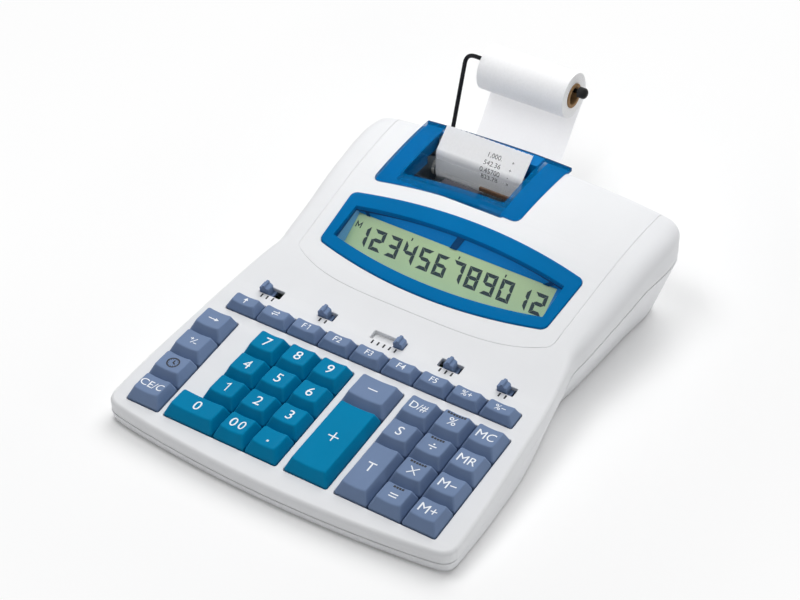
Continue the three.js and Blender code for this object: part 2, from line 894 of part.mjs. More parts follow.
function addDisplay() {
  addMesh(
    "display_window",
    toGeometry(layerOver(lensOutline(), -lens_proud, lens_thickness - lens_proud)),
    looks.tinted,
  );
  // The panel leans more steeply than the window and hangs from the back edge of its opening.
  const panel = boxBetween(-lcd_half_width, lcd_half_width, -lcd_length, 0, -lcd_thickness, 0);
  panel.rotateX(lcd_tilt);
  const back_y = view_top_y + lcd_overlap;
  const drop = (boss_depth + clearance) / Math.cos(head_tilt);
  panel.translate(lcd_centre, back_y, topHeight(back_y) - drop);
  addMesh("lcd_panel", panel, looks.lcd);
}

// Keyboard electronics

function addKeyMat(places) {
  const sheet_top = -mat_depth;
  const sheet_bottom = -mat_depth - mat_thickness;
  let mat = toSolid(
    boxBetween(-board_half_width, board_half_width, board_front, top_row_front + top_row_depth, sheet_bottom, sheet_top),
  );
  const dome_height = mat_depth - dome_depth;
  const dome_sides = 8;
  const crest_share = 0.7;
  for (const spot of places) {
    const rise = dome_height + mat_thickness / 2;
    const dome = new THREE.CylinderGeometry(dome_radius * crest_share, dome_radius, rise, dome_sides);
    dome.rotateX(Math.PI / 2);
    dome.translate((spot.x0 + spot.x1) / 2, (spot.u0 + spot.u1) / 2, -dome_depth - rise / 2);
    mat = mat.add(toSolid(dome));
  }
  addMesh("key_mat", toGeometry(mat), looks.mat, deck_group);
}

function addBoard() {
  const top = -mat_depth - mat_thickness - clearance;
  addMesh(
    "main_board",
    boxBetween(-board_half_width, board_half_width, board_front, board_back, top - board_thickness, top),
    looks.board,
    deck_group,
  );
}

// Printer

// The tinted cover: a plate that follows the head, cut out round the paper, with a skirt
// that hangs from the cut into the bay.
function addCover() {
  const plate = layerOver(coverOutline(cover_back_inset, true), -cover_proud, cover_thickness - cover_proud);
  const ceiling = head_end_height + crown_rise + overrun;
  const outer = boxBetween(
    slot_left - skirt_thickness,
    slot_right + skirt_thickness,
    slot_front - skirt_thickness,
    platen_y,
    tear_top + clearance,
    ceiling,
  );
  const inner = boxBetween(slot_left, slot_right, slot_front, case_depth, 0, ceiling + overrun);
  const skirt = toSolid(outer).subtract(toSolid(inner)).intersect(topLayer(-cover_proud, overrun));
  addMesh("printer_cover", toGeometry(plate.add(skirt)), looks.tinted);
}

function cheekX() {
  const left = slot_left - ledge + clearance * 2;
  const right = slot_right + ledge - clearance * 2;
  return [left, right];
}

function addMechanism() {
  const [left, right] = cheekX();
  const floor_z = foot_height + floor_thickness + clearance;
  const side = [
    [cheek_front, floor_z],
    [platen_y - platen_radius * 2, floor_z],
    [platen_y - platen_radius, chassis_z],
    [platen_y + shaft_radius * 1.5, platen_z - platen_radius],
    [platen_y + shaft_radius * 1.5, platen_z + platen_radius],
    [tear_y, cheek_top],
    [cheek_front, cheek_top],
  ];
  let frame = toSolid(crossPrism(side, left, left + cheek_thickness));
  frame = frame.add(toSolid(crossPrism(side, right - cheek_thickness, right)));
  const inner0 = left + cheek_thickness / 2;
  const inner1 = right - cheek_thickness / 2;
  const deck_plate = boxBetween(
    inner0,
    inner1,
    cheek_front,
    platen_y - platen_radius * 1.5,
    chassis_z,
    chassis_z + cheek_thickness,
  );
  frame = frame.add(toSolid(deck_plate));
  const block = boxBetween(inner0, inner1, cheek_front + cheek_thickness, block_back, chassis_z, block_top);
  frame = frame.add(toSolid(block));
  const sides = 16;
  frame = frame.subtract(
    toSolid(rodAlongX(shaft_radius + clearance, left - overrun, right + overrun, platen_y, platen_z, sides)),
  );
  frame = frame.subtract(
    toSolid(rodAlongX(ink_shaft_radius + clearance, left - overrun, right + overrun, ink_y, ink_z, sides)),
  );
  addMesh("print_mechanism", toGeometry(frame), looks.mechanism);

  const shaft = toSolid(rodAlongX(shaft_radius, left, right, platen_y, platen_z, sides));
  const face0 = left + cheek_thickness + clearance;
  const face1 = right - cheek_thickness - clearance;
  const roller = toSolid(rodAlongX(platen_radius, face0, face1, platen_y, platen_z, 24));
  addMesh("platen_roller", toGeometry(roller.add(shaft)), looks.rubber);

  const ink_shaft = toSolid(rodAlongX(ink_shaft_radius, left, right, ink_y, ink_z, sides));
  const ink_half = ink_width / 2;
  const ink = toSolid(rodAlongX(ink_radius, paper_centre - ink_half, paper_centre + ink_half, ink_y, ink_z, 20));
  addMesh("ink_roller", toGeometry(ink.add(ink_shaft)), looks.black);

  const teeth = [];
  for (let i = 0; i < tear_teeth; i += 1) {
    const x = face0 + ((face1 - face0) * (i + 1 / 2)) / tear_teeth;
    const next = face0 + ((face1 - face0) * (i + 1)) / tear_teeth;
    teeth.push([x, tear_top]);
    teeth.push([next, tear_top - tear_tooth]);
  }
  const shape = new THREE.Shape([
    new THREE.Vector2(face0, tear_bottom),
    new THREE.Vector2(face1, tear_bottom),
    ...teeth.reverse().map(([x, z]) => new THREE.Vector2(x, z)),
    new THREE.Vector2(face0, tear_top - tear_tooth),
  ]);
  const bar = new THREE.ExtrudeGeometry(shape, { depth: tear_thickness, bevelEnabled: false, steps: 1 });
  bar.rotateX(Math.PI / 2);
  bar.translate(0, tear_y, 0);
  addMesh("tear_bar", toGeometry(toSolid(bar)), looks.clear);
}

// Paper, roll and arm

function paperPath() {
  const path = [];
  const web_gap = clearance + paper_thickness / 2;
  const back = roll_y + roll_radius + web_gap + clearance / 2;
  path.push([back, roll_z + core_wall]);
  path.push([back - core_wall / 4, roll_z - roll_radius / 2]);
  path.push([(back + web_landing_y) / 2, (roll_z - roll_radius / 2 + web_landing_z) / 2 + core_wall / 2]);
  path.push([web_landing_y, web_landing_z]);
  path.push([web_foot_y, web_foot_z]);
  const bend = platen_radius + web_gap;
  const low = platen_z - bend;
  path.push([(web_foot_y + case_depth) / 2, low + core_wall / 8]);
  path.push([case_depth, low]);
  path.push([platen_y, low]);
  const steps = 5;
  for (let i = 1; i <= steps; i += 1) {
    const angle = ((Math.PI / 2) * i) / steps;
    path.push([platen_y - bend * Math.sin(angle), platen_z - bend * Math.cos(angle)]);
  }
  path.push([platen_y - bend, crease_z]);
  path.push([platen_y - bend + tail_length * Math.sin(tail_lean), crease_z + tail_length * Math.cos(tail_lean)]);
  return path;
}

function addPaper() {
  const path = paperPath();
  const half = paper_thickness / 2;
  const last = path.length - 1;
  const normals = path.map((point, i) => {
    const [ay, az] = path[Math.max(i - 1, 0)];
    const [by, bz] = path[Math.min(i + 1, last)];
    return new THREE.Vector2(bz - az, ay - by).normalize();
  });
  const one_side = path.map(([y, z], i) => [y + normals[i].x * half, z + normals[i].y * half]);
  const other_side = path.map(([y, z], i) => [y - normals[i].x * half, z - normals[i].y * half]).reverse();
  const x0 = paper_centre - paper_width / 2;
  const strip = crossPrism([...other_side, ...one_side], x0, x0 + paper_width);
  addMesh("paper_strip", toGeometry(toSolid(strip)), looks.paper);
}

function tubeAlongX(outer, inner, x0, x1, y, z, sides) {
  const ring = new THREE.Shape().absarc(0, 0, outer, 0, Math.PI * 2);
  ring.holes.push(new THREE.Path().absarc(0, 0, inner, 0, Math.PI * 2));
  const tube = new THREE.ExtrudeGeometry(ring, {
    depth: x1 - x0,
    bevelEnabled: false,
    steps: 1,
    curveSegments: sides,
  });
  tube.rotateY(Math.PI / 2);
  tube.translate(x0, y, z);
  return toGeometry(toSolid(tube));
}

function addRoll() {
  const x0 = paper_centre - paper_width / 2;
  const x1 = x0 + paper_width;
  const core_edge = clearance * 2;
  const roll = tubeAlongX(roll_radius, core_radius + clearance, x0, x1, roll_y, roll_z, 36);
  addMesh("paper_roll", roll, looks.paper);
  const core = tubeAlongX(core_radius, core_radius - core_wall, x0 - core_edge, x1 + core_edge, roll_y, roll_z, 24);
  addMesh("paper_core", core, looks.card);
}

function addArm() {
  const axle_z = roll_z + core_radius - core_wall - wire_radius - clearance;
  const right = paper_centre + paper_width / 2 + wire_end_reach;
  const lean = new THREE.Vector3(0, roll_y - arm_foot_y, axle_z - arm_z).normalize();
  const corner0 = new THREE.Vector3(arm_x, arm_foot_y, arm_z);
  const corner1 = new THREE.Vector3(arm_x, roll_y, axle_z);
  const along = (from, direction, distance) => from.clone().addScaledVector(direction, distance);
  const back = new THREE.Vector3(0, 1, 0);
  const side = new THREE.Vector3(1, 0, 0);
  const path = new THREE.CurvePath();
  const root = new THREE.Vector3(arm_x, arm_root_y, arm_z);
  const a = along(corner0, back, -arm_bend);
  const b = along(corner0, lean, arm_bend);
  const c = along(corner1, lean, -arm_bend);
  const d = along(corner1, side, arm_bend);
  path.add(new THREE.LineCurve3(root, a));
  path.add(new THREE.QuadraticBezierCurve3(a, corner0, b));
  path.add(new THREE.LineCurve3(b, c));
  path.add(new THREE.QuadraticBezierCurve3(c, corner1, d));
  path.add(new THREE.LineCurve3(d, new THREE.Vector3(right, roll_y, axle_z)));
  const section = new THREE.Shape().absarc(0, 0, wire_radius, 0, Math.PI * 2);
  const wire = new THREE.ExtrudeGeometry(section, { steps: 60, curveSegments: 8, extrudePath: path });
  addMesh("roll_arm", toGeometry(toSolid(wire)), looks.wire);

  const cap_x = right - wire_end_reach + cap_reach;
  const cap = toSolid(rodAlongX(cap_radius, cap_x, cap_x + cap_length, roll_y, axle_z, 16));
  const hole = toSolid(
    rodAlongX(wire_radius + clearance, cap_x - overrun, right + clearance, roll_y, axle_z, 12),
  );
  addMesh("roll_cap", toGeometry(cap.subtract(hole)), looks.black);
}

function addInlet() {
  const y1 = backEdgeAt(inlet_x) - base_inset - base_draft_share * (parting_back_height - inlet_z) - wall / 2;
  const block = toSolid(
    boxBetween(
      inlet_x - inlet_width / 2,
      inlet_x + inlet_width / 2,
      y1 - inlet_depth,
      y1,
      inlet_z - inlet_height / 2,
      inlet_z + inlet_height / 2,
    ),
  );
  const bore = new THREE.CylinderGeometry(inlet_bore, inlet_bore, inlet_bore_depth * 2, 16);
  bore.translate(inlet_x, y1, inlet_z);
  addMesh("power_inlet", toGeometry(block.subtract(toSolid(bore))), looks.black);
}

const places = keyPlaces();
deck_group.rotation.x = deck_tilt;
deck_group.position.z = front_height;
addUpperCase(places);
addLowerCase();
addDisplay();
addKeys(places);
addSwitches();
addKeyMat(places);
addBoard();
addCover();
addMechanism();
addPaper();
addRoll();
addArm();
addInlet();

// Centre the whole on the space it stands on.
const bounds = new THREE.Box3().setFromObject(model);
const centre = bounds.getCenter(new THREE.Vector3());
model.position.set(-centre.x, -centre.y, -bounds.min.z);

export default model;
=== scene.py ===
import math
import bpy
import bmesh
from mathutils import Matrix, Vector
from mathutils.geometry import tessellate_polygon


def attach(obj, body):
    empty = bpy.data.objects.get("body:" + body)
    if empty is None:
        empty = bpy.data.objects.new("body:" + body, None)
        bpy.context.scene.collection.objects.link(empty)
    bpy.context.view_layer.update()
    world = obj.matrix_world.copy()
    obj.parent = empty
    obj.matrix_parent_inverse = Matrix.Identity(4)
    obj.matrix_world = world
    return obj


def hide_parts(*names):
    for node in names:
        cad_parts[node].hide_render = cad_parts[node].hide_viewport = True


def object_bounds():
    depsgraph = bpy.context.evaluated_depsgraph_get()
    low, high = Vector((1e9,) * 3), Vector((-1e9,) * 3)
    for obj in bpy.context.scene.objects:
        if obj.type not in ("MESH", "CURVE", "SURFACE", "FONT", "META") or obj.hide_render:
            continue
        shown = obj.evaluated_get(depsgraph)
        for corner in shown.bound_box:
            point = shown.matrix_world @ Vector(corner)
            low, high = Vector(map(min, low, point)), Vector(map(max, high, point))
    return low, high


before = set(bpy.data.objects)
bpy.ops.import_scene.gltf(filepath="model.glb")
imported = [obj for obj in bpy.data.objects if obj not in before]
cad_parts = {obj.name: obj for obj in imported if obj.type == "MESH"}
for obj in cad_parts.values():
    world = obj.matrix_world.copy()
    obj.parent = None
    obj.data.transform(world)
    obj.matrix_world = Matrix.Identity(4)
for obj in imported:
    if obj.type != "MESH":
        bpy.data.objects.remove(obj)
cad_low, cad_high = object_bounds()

# The shapes are laid out in millimetres from the front edge of the case, as the solids are:
# X to the user's right, Y to the back and Z up.
MM = 0.001
FRONT_Y = cad_low[1]

# Case
HALF_WIDTH = 106.4
DEPTH = 266
FRONT_HEIGHT = 13
DECK_LENGTH = 118
DECK_TILT = math.radians(8.7)
HEAD_LENGTH = 82
HEAD_TILT = math.radians(14.4)
HEAD_END = DECK_LENGTH + HEAD_LENGTH
CROWN_RISE = 7.6
CREASE_BLEND = 8
WALL = 2.4
FRONT_EDGE = 2.2
HEAD_EDGE = 9
PARTING_FRONT = 6
PARTING_WAIST = 25
PARTING_BACK = 37.5
PARTING_GAP = 0.22
PARTING_STEP = 0.45
PARTING_CLOSES = (8, 17)
PARTING_OPENS = (122, 142)
PARTING_CLOSED = 0.93
BASE_INSET = 0.05
FOOT_LEAN = 1.15
BASE_DRAFT = 0.3
DRAFT_START = 0.26
DRAFT_END = 0.51
FLOOR = 1.8
FOOT_HEIGHT = 1
FOOT_RADIUS = 7
FOOT_INSET = 15
WAIST_Y = 0.553 * DEPTH
LEVEL_Y = 0.805 * DEPTH
HEAD_BLEND_Y = (WAIST_Y + LEVEL_Y) / 2

# Half outline of the case, as shares of its half width and depth
OUTLINE_SHARES = [
    (0, 0), (0.28, 0.0022), (0.52, 0.0075), (0.72, 0.0143), (0.86, 0.0208), (0.943, 0.0267),
    (0.982, 0.0362), (0.997, 0.049), (1, 0.068), (0.993, 0.15), (0.979, 0.225), (0.963, 0.3),
    (0.946, 0.38), (0.926, 0.45), (0.9, 0.515), (0.884, 0.553), (0.897, 0.6), (0.912, 0.67),
    (0.926, 0.74), (0.937, 0.81), (0.947, 0.875), (0.947, 0.908), (0.936, 0.938), (0.907, 0.959),
    (0.848, 0.972), (0.714, 0.981), (0.5455, 0.9885), (0.347, 0.9945), (0.1686, 0.998), (0, 1),
]

# Keyboard
KEY_PITCH = 20
ROW_PITCH = 18
KEY_GAP = 0.7
KEY_FRONT = 13.2
LEFT_X = -96.9
LEFT_WIDTH = 21
NUMBER_X = -61.1
ZERO_EXTRA = 11.7
ADD_X = 3.4
ADD_WIDTH = 26.6
PLUS_DEPTH = 51
RIGHT_X = 34
TOP_ROW_FRONT = 91.6
TOP_ROW_DEPTH = 11
TOP_ROW_COLUMNS = 9
WELL_CLEARANCE = 0.5
KEY_SKIRT = 3.4
KEY_SHOULDER = 0.7
KEY_DISH = 0.9
SIDE_SETBACK = 2.7
BACK_SETBACK = 1
HIGH_KEY = {"front": 6.6, "back": 5.6, "setback": 4.2}
LOW_KEY = {"front": 5.4, "back": 5, "setback": 2.6}

# Switches: centre as a share of the top row, positions, resting position
SLOT_CENTRE = 113.4
SLOT_DEPTH = 5.8
SWITCH_STEP = 3.6
KNOB_WIDTH = 5.8
SLIDER_THICKNESS = 1.2
SLIDER_MARGIN = 1.6
SWITCHES = {
    "switch_print": (-0.411, 3, 0),
    "switch_sum": (-0.208, 2, 0),
    "switch_decimals": (0.009, 5, 4),
    "switch_rounding": (0.223, 3, 1),
    "switch_rate": (0.413, 2, 0),
}

# Display
LENS_BOTTOM_HALF = 72
LENS_TOP_HALF = 74
LENS_BOTTOM_Y = 154
LENS_TOP_Y = 190.5
LENS_BULGE = 9.5
LENS_PROUD = 0.8
LENS_THICKNESS = 2.4
BOSS_DEPTH = 4.6
SEAT_BOSS = 3
VIEW_ROOM = 2.6
VIEW_HALF = 66.5
VIEW_BOTTOM_Y = 160
VIEW_TOP_Y = 182.5
VIEW_BULGE = 7.8
VIEW_CROWN = 6.9
LCD_CENTRE = -2.7
LCD_HALF = 65
LCD_LENGTH = 25
LCD_BACK_Y = 184.5
LCD_DROP = 4.9
LCD_TILT = math.radians(34)

# Printer
COVER_LEFT = -69.6
COVER_RIGHT = 22
COVER_GAP = 11
COVER_CORNER = 5
COVER_PROUD = 0.6
COVER_THICKNESS = 2.2
COVER_BACK_INSET = 0.6
SLOT_LEFT = -58
SLOT_RIGHT = 8
SLOT_FRONT = 213
SLOT_BAND = 6.9
LEDGE = 3.6
SKIRT = 1.4
PLATEN = (252.5, 38)
PLATEN_RADIUS = 5.5
INK = (227.5, 45.2)
INK_RADIUS = 5
TEAR_Y = 242.6
TEAR_TOP = 51.5
FELT_X = (-22, 2)
FELT_Z = (41.5, 44)

# Paper
PAPER_WIDTH = 57
PAPER_CENTRE = -26.5
PAPER_THICKNESS = 0.16
ROLL = (302.6, 80)
ROLL_RADIUS = 13.5
CORE_RADIUS = 7.3
CORE_WALL = 2
CREASE_Z = 52.5
TAIL_LENGTH = 19
TAIL_LEAN = math.radians(46)

# Roll arm
WIRE_RADIUS = 1.3
ARM_X = -70
ARM_Z = 30
ARM_ROOT_Y = 252
ARM_FOOT_Y = 286
CAP_RADIUS = 3.2

# Inlet
INLET_X = 58
INLET_Z = 18
INLET_HALF_WIDTH = 7
INLET_HALF_HEIGHT = 5.5

CLEARANCE = 0.3
OVERRUN = 20
NORMAL_WEIGHT = 50

scene = bpy.context.scene
looks = {}


# Small sums

def lerp(a, b, t):
    return a + (b - a) * t


def smoothstep(x, low, high):
    t = min(max((x - low) / (high - low), 0), 1)
    return t * t * (3 - 2 * t)


def place(point):
    x, y, z = point
    return Vector((x * MM, y * MM + FRONT_Y, z * MM))


def on_deck(x, u, w):
    """A point x across, u up the slope and w above the deck."""
    y = u * math.cos(DECK_TILT) - w * math.sin(DECK_TILT)
    z = FRONT_HEIGHT + u * math.sin(DECK_TILT) + w * math.cos(DECK_TILT)
    return (x, y, z)


def shares(count):
    """Even steps from 0 to 1."""
    return [i / count for i in range(count + 1)]


def bend(a, b, c, at):
    """Points of a curve from a to c that leans towards b, at shares of its length."""
    a, b, c = Vector(a), Vector(b), Vector(c)
    return [tuple(a.lerp(b, t).lerp(b.lerp(c, t), t)) for t in at]


def rounding(radius, steps):
    """Steps round an edge, each as how far in and how far down it lies."""
    turns = [math.pi / 2 * i / steps for i in range(steps + 1)]
    return [(radius * (1 - math.cos(a)), radius * (1 - math.sin(a))) for a in turns]


def smooth_line(points, steps, before=None, after=None):
    """Points along a smooth curve through the given ones."""
    ends = [before or points[0], *points, after or points[-1]]
    line = []
    for i in range(len(points) - 1):
        p0, p1, p2, p3 = (Vector(p) for p in ends[i:i + 4])
        for k in range(steps):
            t = k / steps
            curve = (p1 * 2 + (p2 - p0) * t + (p0 * 2 - p1 * 5 + p2 * 4 - p3) * t * t
                     + (p1 * 3 - p0 - p2 * 3 + p3) * t ** 3) / 2
            line.append(tuple(curve))
    line.append(tuple(points[-1]))
    return line


# Heights of the case

DECK_END_HEIGHT = FRONT_HEIGHT + DECK_LENGTH * math.tan(DECK_TILT)
HEAD_END_HEIGHT = DECK_END_HEIGHT + HEAD_LENGTH * math.tan(HEAD_TILT)
CEILING = HEAD_END_HEIGHT + CROWN_RISE + OVERRUN


def top_height(y):
    turn = math.tan(HEAD_TILT) - math.tan(DECK_TILT)
    past = y - DECK_LENGTH
    if past <= -CREASE_BLEND:
        return FRONT_HEIGHT + y * math.tan(DECK_TILT)
    if past < CREASE_BLEND:
        lift = turn * (past + CREASE_BLEND) ** 2 / (CREASE_BLEND * 4)
        return FRONT_HEIGHT + y * math.tan(DECK_TILT) + lift
    if y <= HEAD_END:
        return DECK_END_HEIGHT + past * math.tan(HEAD_TILT)
    along = min((y - HEAD_END) / (DEPTH - HEAD_END), 1)
    return HEAD_END_HEIGHT + CROWN_RISE * (1 - (1 - along) ** 2)


def head_point(x, y, w):
    """A point w above the top of the case."""
    return (x, y, top_height(y) + w)


def lifted(at, points, w):
    return [at(x, y, w) for x, y in points]


def parting_height(y):
    if y <= WAIST_Y:
        return lerp(PARTING_FRONT, PARTING_WAIST, y / WAIST_Y)
    return lerp(PARTING_WAIST, PARTING_BACK, min((y - WAIST_Y) / (LEVEL_Y - WAIST_Y), 1))


def edge_radius(y):
    return lerp(FRONT_EDGE, HEAD_EDGE, smoothstep(y, DECK_LENGTH, HEAD_BLEND_Y))


def case_outline(steps):
    """The whole outline, anticlockwise from the middle of the front, alike left and right."""
    half = [(x * HALF_WIDTH, y * DEPTH) for x, y in OUTLINE_SHARES]
    before = (-half[1][0], half[1][1])
    after = (-half[-2][0], half[-2][1])
    right = [(min(x, HALF_WIDTH), y) for x, y in smooth_line(half, steps, before, after)]
    left = [(-x, y) for x, y in right[-2:0:-1]]
    return right + left


def inset(points, distance):
    """Every point of a closed outline moved inwards by a distance, or by one that follows from its y."""
    moved = []
    for i, (x, y) in enumerate(points):
        px, py = points[i - 1]
        nx, ny = points[(i + 1) % len(points)]
        before = Vector((y - py, px - x)).normalized()
        after = Vector((ny - y, x - nx)).normalized()
        normal = (before + after).normalized()
        reach = (distance(y) if callable(distance) else distance) / max(normal.dot(before), 0.5)
        moved.append((x - normal.x * reach, y - normal.y * reach))
    return moved


def back_edge(x):
    side = abs(x) / HALF_WIDTH
    back = [s for s in OUTLINE_SHARES if s[1] > LEVEL_Y / DEPTH][::-1]
    for (x0, y0), (x1, y1) in zip(back, back[1:]):
        if x0 <= side <= x1:
            return DEPTH * lerp(y0, y1, (side - x0) / (x1 - x0))
    return DEPTH


# Meshes

def linked(name, data):
    obj = bpy.data.objects.new(name, data)
    scene.collection.objects.link(obj)
    return obj


def new_object(name, points, faces):
    """A mesh object with its faces turned outwards."""
    mesh = bpy.data.meshes.new(name)
    mesh.from_pydata([place(p) for p in points], [], faces)
    mesh.validate()
    turned = bmesh.new()
    turned.from_mesh(mesh)
    bmesh.ops.recalc_face_normals(turned, faces=turned.faces)
    turned.to_mesh(mesh)
    turned.free()
    return linked(name, mesh)


def flat_cap(points):
    """Triangles over a closed outline, by its X and Y."""
    return tessellate_polygon([[Vector((p[0], p[1], 0)) for p in points]])


def mirrored_rows(count):
    """Cap of a ring that is alike left and right, in rows across it."""
    rows = [(0, 1, count - 1)]
    rows += [(count - i, i, i + 1, count - i - 1) for i in range(1, count // 2 - 1)]
    rows.append((count // 2 + 1, count // 2 - 1, count // 2))
    return rows


def ring_faces(rings, closed=False):
    """Quads between rings of equal count; closed joins the last ring to the first."""
    count = len(rings[0])
    faces = []
    last = len(rings) if closed else len(rings) - 1
    for r in range(last):
        a, b = r * count, ((r + 1) % len(rings)) * count
        for i in range(count):
            j = (i + 1) % count
            faces.append((a + i, a + j, b + j, b + i))
    return faces


def ring_body(name, rings, cap=None):
    """A closed body through stacked rings; cap holds the faces over an end ring."""
    top = (len(rings) - 1) * len(rings[0])
    faces = ring_faces(rings)
    faces += [tuple(reversed(f)) for f in cap or flat_cap(rings[0])]
    faces += [tuple(top + i for i in f) for f in cap or flat_cap(rings[-1])]
    return new_object(name, [p for ring in rings for p in ring], faces)


def loop_body(name, rings):
    """A body through rings of which the last joins the first."""
    return new_object(name, [p for ring in rings for p in ring], ring_faces(rings, closed=True))


def slab(name, outline, low, high, at=lambda *point: point):
    """A body over an outline between two heights; at turns its points into places."""
    return ring_body(name, [lifted(at, outline, w) for w in (low, high)])


def box_between(name, x, y, z):
    return slab(name, rectangle(*x, *y), *z)


def disc(centre, side, other, radius, sides):
    """A ring of points round a centre, in the plane of two directions."""
    turns = [math.tau * i / sides for i in range(sides)]
    return [tuple(centre + (side * math.cos(a) + other * math.sin(a)) * radius) for a in turns]


def rod(name, start, end, stations, sides=32):
    """A turned body from start to end; each station is a share of the length and a radius."""
    a, b = Vector(start), Vector(end)
    axis = (b - a).normalized()
    side = axis.orthogonal().normalized()
    rings = [disc(a.lerp(b, share), side, axis.cross(side), radius, sides) for share, radius in stations]
    return ring_body(name, rings, [tuple(range(sides))])


def apply_modifiers(obj):
    graph = bpy.context.evaluated_depsgraph_get()
    mesh = bpy.data.meshes.new_from_object(obj.evaluated_get(graph))
    obj.modifiers.clear()
    obj.data = mesh


def carve(obj, cutters, operation="DIFFERENCE"):
    for cutter in cutters:
        step = obj.modifiers.new("carve", "BOOLEAN")
        step.operation = operation
        step.solver = "MANIFOLD"
        step.object = cutter
        apply_modifiers(obj)
        bpy.data.objects.remove(cutter)
    return obj


def bevel(obj, width, segments=3, angle=40):
    step = obj.modifiers.new("bevel", "BEVEL")
    step.width = width * MM
    step.segments = segments
    step.limit_method = "ANGLE"
    step.angle_limit = math.radians(angle)


def finish_piece(obj, look, *nodes, body="calculator", sharp=32):
    """Shading, finish, the body it rides on and the solids it stands for."""
    obj.data.shade_smooth()
    obj.data.set_sharp_from_angle(angle=math.radians(sharp))
    step = obj.modifiers.new("normals", "WEIGHTED_NORMAL")
    step.keep_sharp = True
    step.weight = NORMAL_WEIGHT
    obj.data.materials.clear()
    obj.data.materials.append(looks[look])
    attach(obj, body)
    if nodes:
        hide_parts(*nodes)


# Materials

class Nodes:
    """A node tree, with short ways to add nodes and to join them."""

    def __init__(self, tree):
        self.tree = tree

    def add(self, kind, *sources, **settings):
        """A node whose first inputs get the sources; a setting with a capital is an input too."""
        node = self.tree.nodes.new("ShaderNode" + kind)
        for key, value in settings.items():
            if key[0].isupper():
                node.inputs[key.replace("_", " ")].default_value = value
            else:
                setattr(node, key, value)
        for target, source in zip(node.inputs, sources):
            self.put(source, target)
        return node

    def put(self, source, target):
        """A link from another socket, or else a plain value."""
        if isinstance(source, bpy.types.NodeSocket):
            self.tree.links.new(source, target)
        else:
            target.default_value = source

    def calc(self, operation, *sources):
        return self.add("Math", *sources, operation=operation).outputs[0]

    def mixed_surface(self, share, first, second, output):
        both = self.add("MixShader", share, first.outputs[0], second.outputs[0])
        self.put(both.outputs[0], self.tree.nodes[output].inputs["Surface"])

    def seen_rays(self):
        """1 for rays of the camera, of gloss and through glass, 0 for the rest."""
        path = self.add("LightPath")
        most = path.outputs["Is Camera Ray"]
        for name in ("Is Glossy Ray", "Is Transmission Ray"):
            most = self.calc("MAXIMUM", most, path.outputs[name])
        return most


class Look(Nodes):
    """A node material with a shaded surface and its own coordinates."""

    def __init__(self, name, color, roughness, **sockets):
        self.color = color
        self.material = looks[name] = bpy.data.materials.new(name)
        self.material.use_nodes = True
        super().__init__(self.material.node_tree)
        self.shader = self.tree.nodes["Principled BSDF"]
        for socket, value in {"Base Color": (*color, 1), "Roughness": roughness, **sockets}.items():
            self.shader.inputs[socket.replace("_", " ")].default_value = value
        self.place = self.add("TexCoord").outputs["Object"]

    def noise(self, scale, detail=3, rough=0.5, stretch=None):
        place = self.place
        if stretch:
            place = self.add("Mapping", place, Scale=stretch).outputs["Vector"]
        return self.add("TexNoise", place, Scale=scale, Detail=detail, Roughness=rough).outputs["Fac"]

    def ranged(self, value, low, high, to_low, to_high):
        return self.add("MapRange", value, low, high, to_low, to_high).outputs["Result"]

    def ramp(self, value, stops):
        node = self.add("ValToRGB", value)
        points = node.color_ramp.elements
        while len(points) < len(stops):
            points.new(0.5)
        for point, (at, color) in zip(points, stops):
            point.position = at
            point.color = (*color, 1)
        return node.outputs["Color"]

    def mottled(self, noise, darker, lighter):
        """The look's own colour, a little darker and lighter with a noise."""
        return self.ramp(noise, [(0.3, shade(self.color, darker)), (0.7, shade(self.color, lighter))])

    def mix(self, share, first, second):
        """A colour or a socket, and another one over it by a share."""
        node = self.add("Mix", data_type="RGBA")
        for source, target in ((share, 0), (first, 6), (second, 7)):
            self.put((*source, 1) if isinstance(source, tuple) else source, node.inputs[target])
        return node.outputs[2]

    def bump(self, height, distance):
        node = self.add("Bump", Strength=1, Distance=distance * MM)
        self.put(height, node.inputs["Height"])
        self.put(node.outputs["Normal"], self.shader.inputs["Normal"])

    def paint(self, color):
        self.put(color, self.shader.inputs["Base Color"])

    def gloss(self, noise, least, most):
        self.put(self.ranged(noise, 0.3, 0.7, least, most), self.shader.inputs["Roughness"])


def shade(color, share):
    return tuple(min(c * share, 1) for c in color)


def srgb(red, green, blue):
    """Linear colour from a screen colour of 0 to 255."""
    return tuple(((c / 255 + 0.055) / 1.055) ** 2.4 if c > 10 else c / 3294 for c in (red, green, blue))


def plastic(name, color, roughness, grain, scale, patch, wear, specular):
    """Moulded plastic: fine grain, a little unevenness in colour and gloss, and paler edges."""
    look = Look(name, color, roughness, Specular_IOR_Level=specular)
    uneven = look.mottled(look.noise(28, 4), 1 - patch, 1 + patch)
    speck = look.ranged(look.noise(900, 2), 0.35, 0.65, 0, patch)
    uneven = look.mix(speck, uneven, shade(color, 0.8))
    edge = look.add("NewGeometry").outputs["Pointiness"]
    worn = look.ranged(edge, 0.515, 0.56, 0, wear * 4)
    look.paint(look.mix(worn, uneven, tuple(lerp(c, 1, 0.5) for c in color)))
    look.gloss(look.noise(60, 3), roughness - 0.05, roughness + 0.06)
    look.bump(look.noise(scale, 2), grain)


CASE_WHITE = srgb(229, 230, 232)
BLUE = srgb(0, 124, 168)
GREY_BLUE = srgb(111, 131, 164)
TINT = srgb(0, 116, 181)
LCD_GREEN = srgb(182, 208, 156)

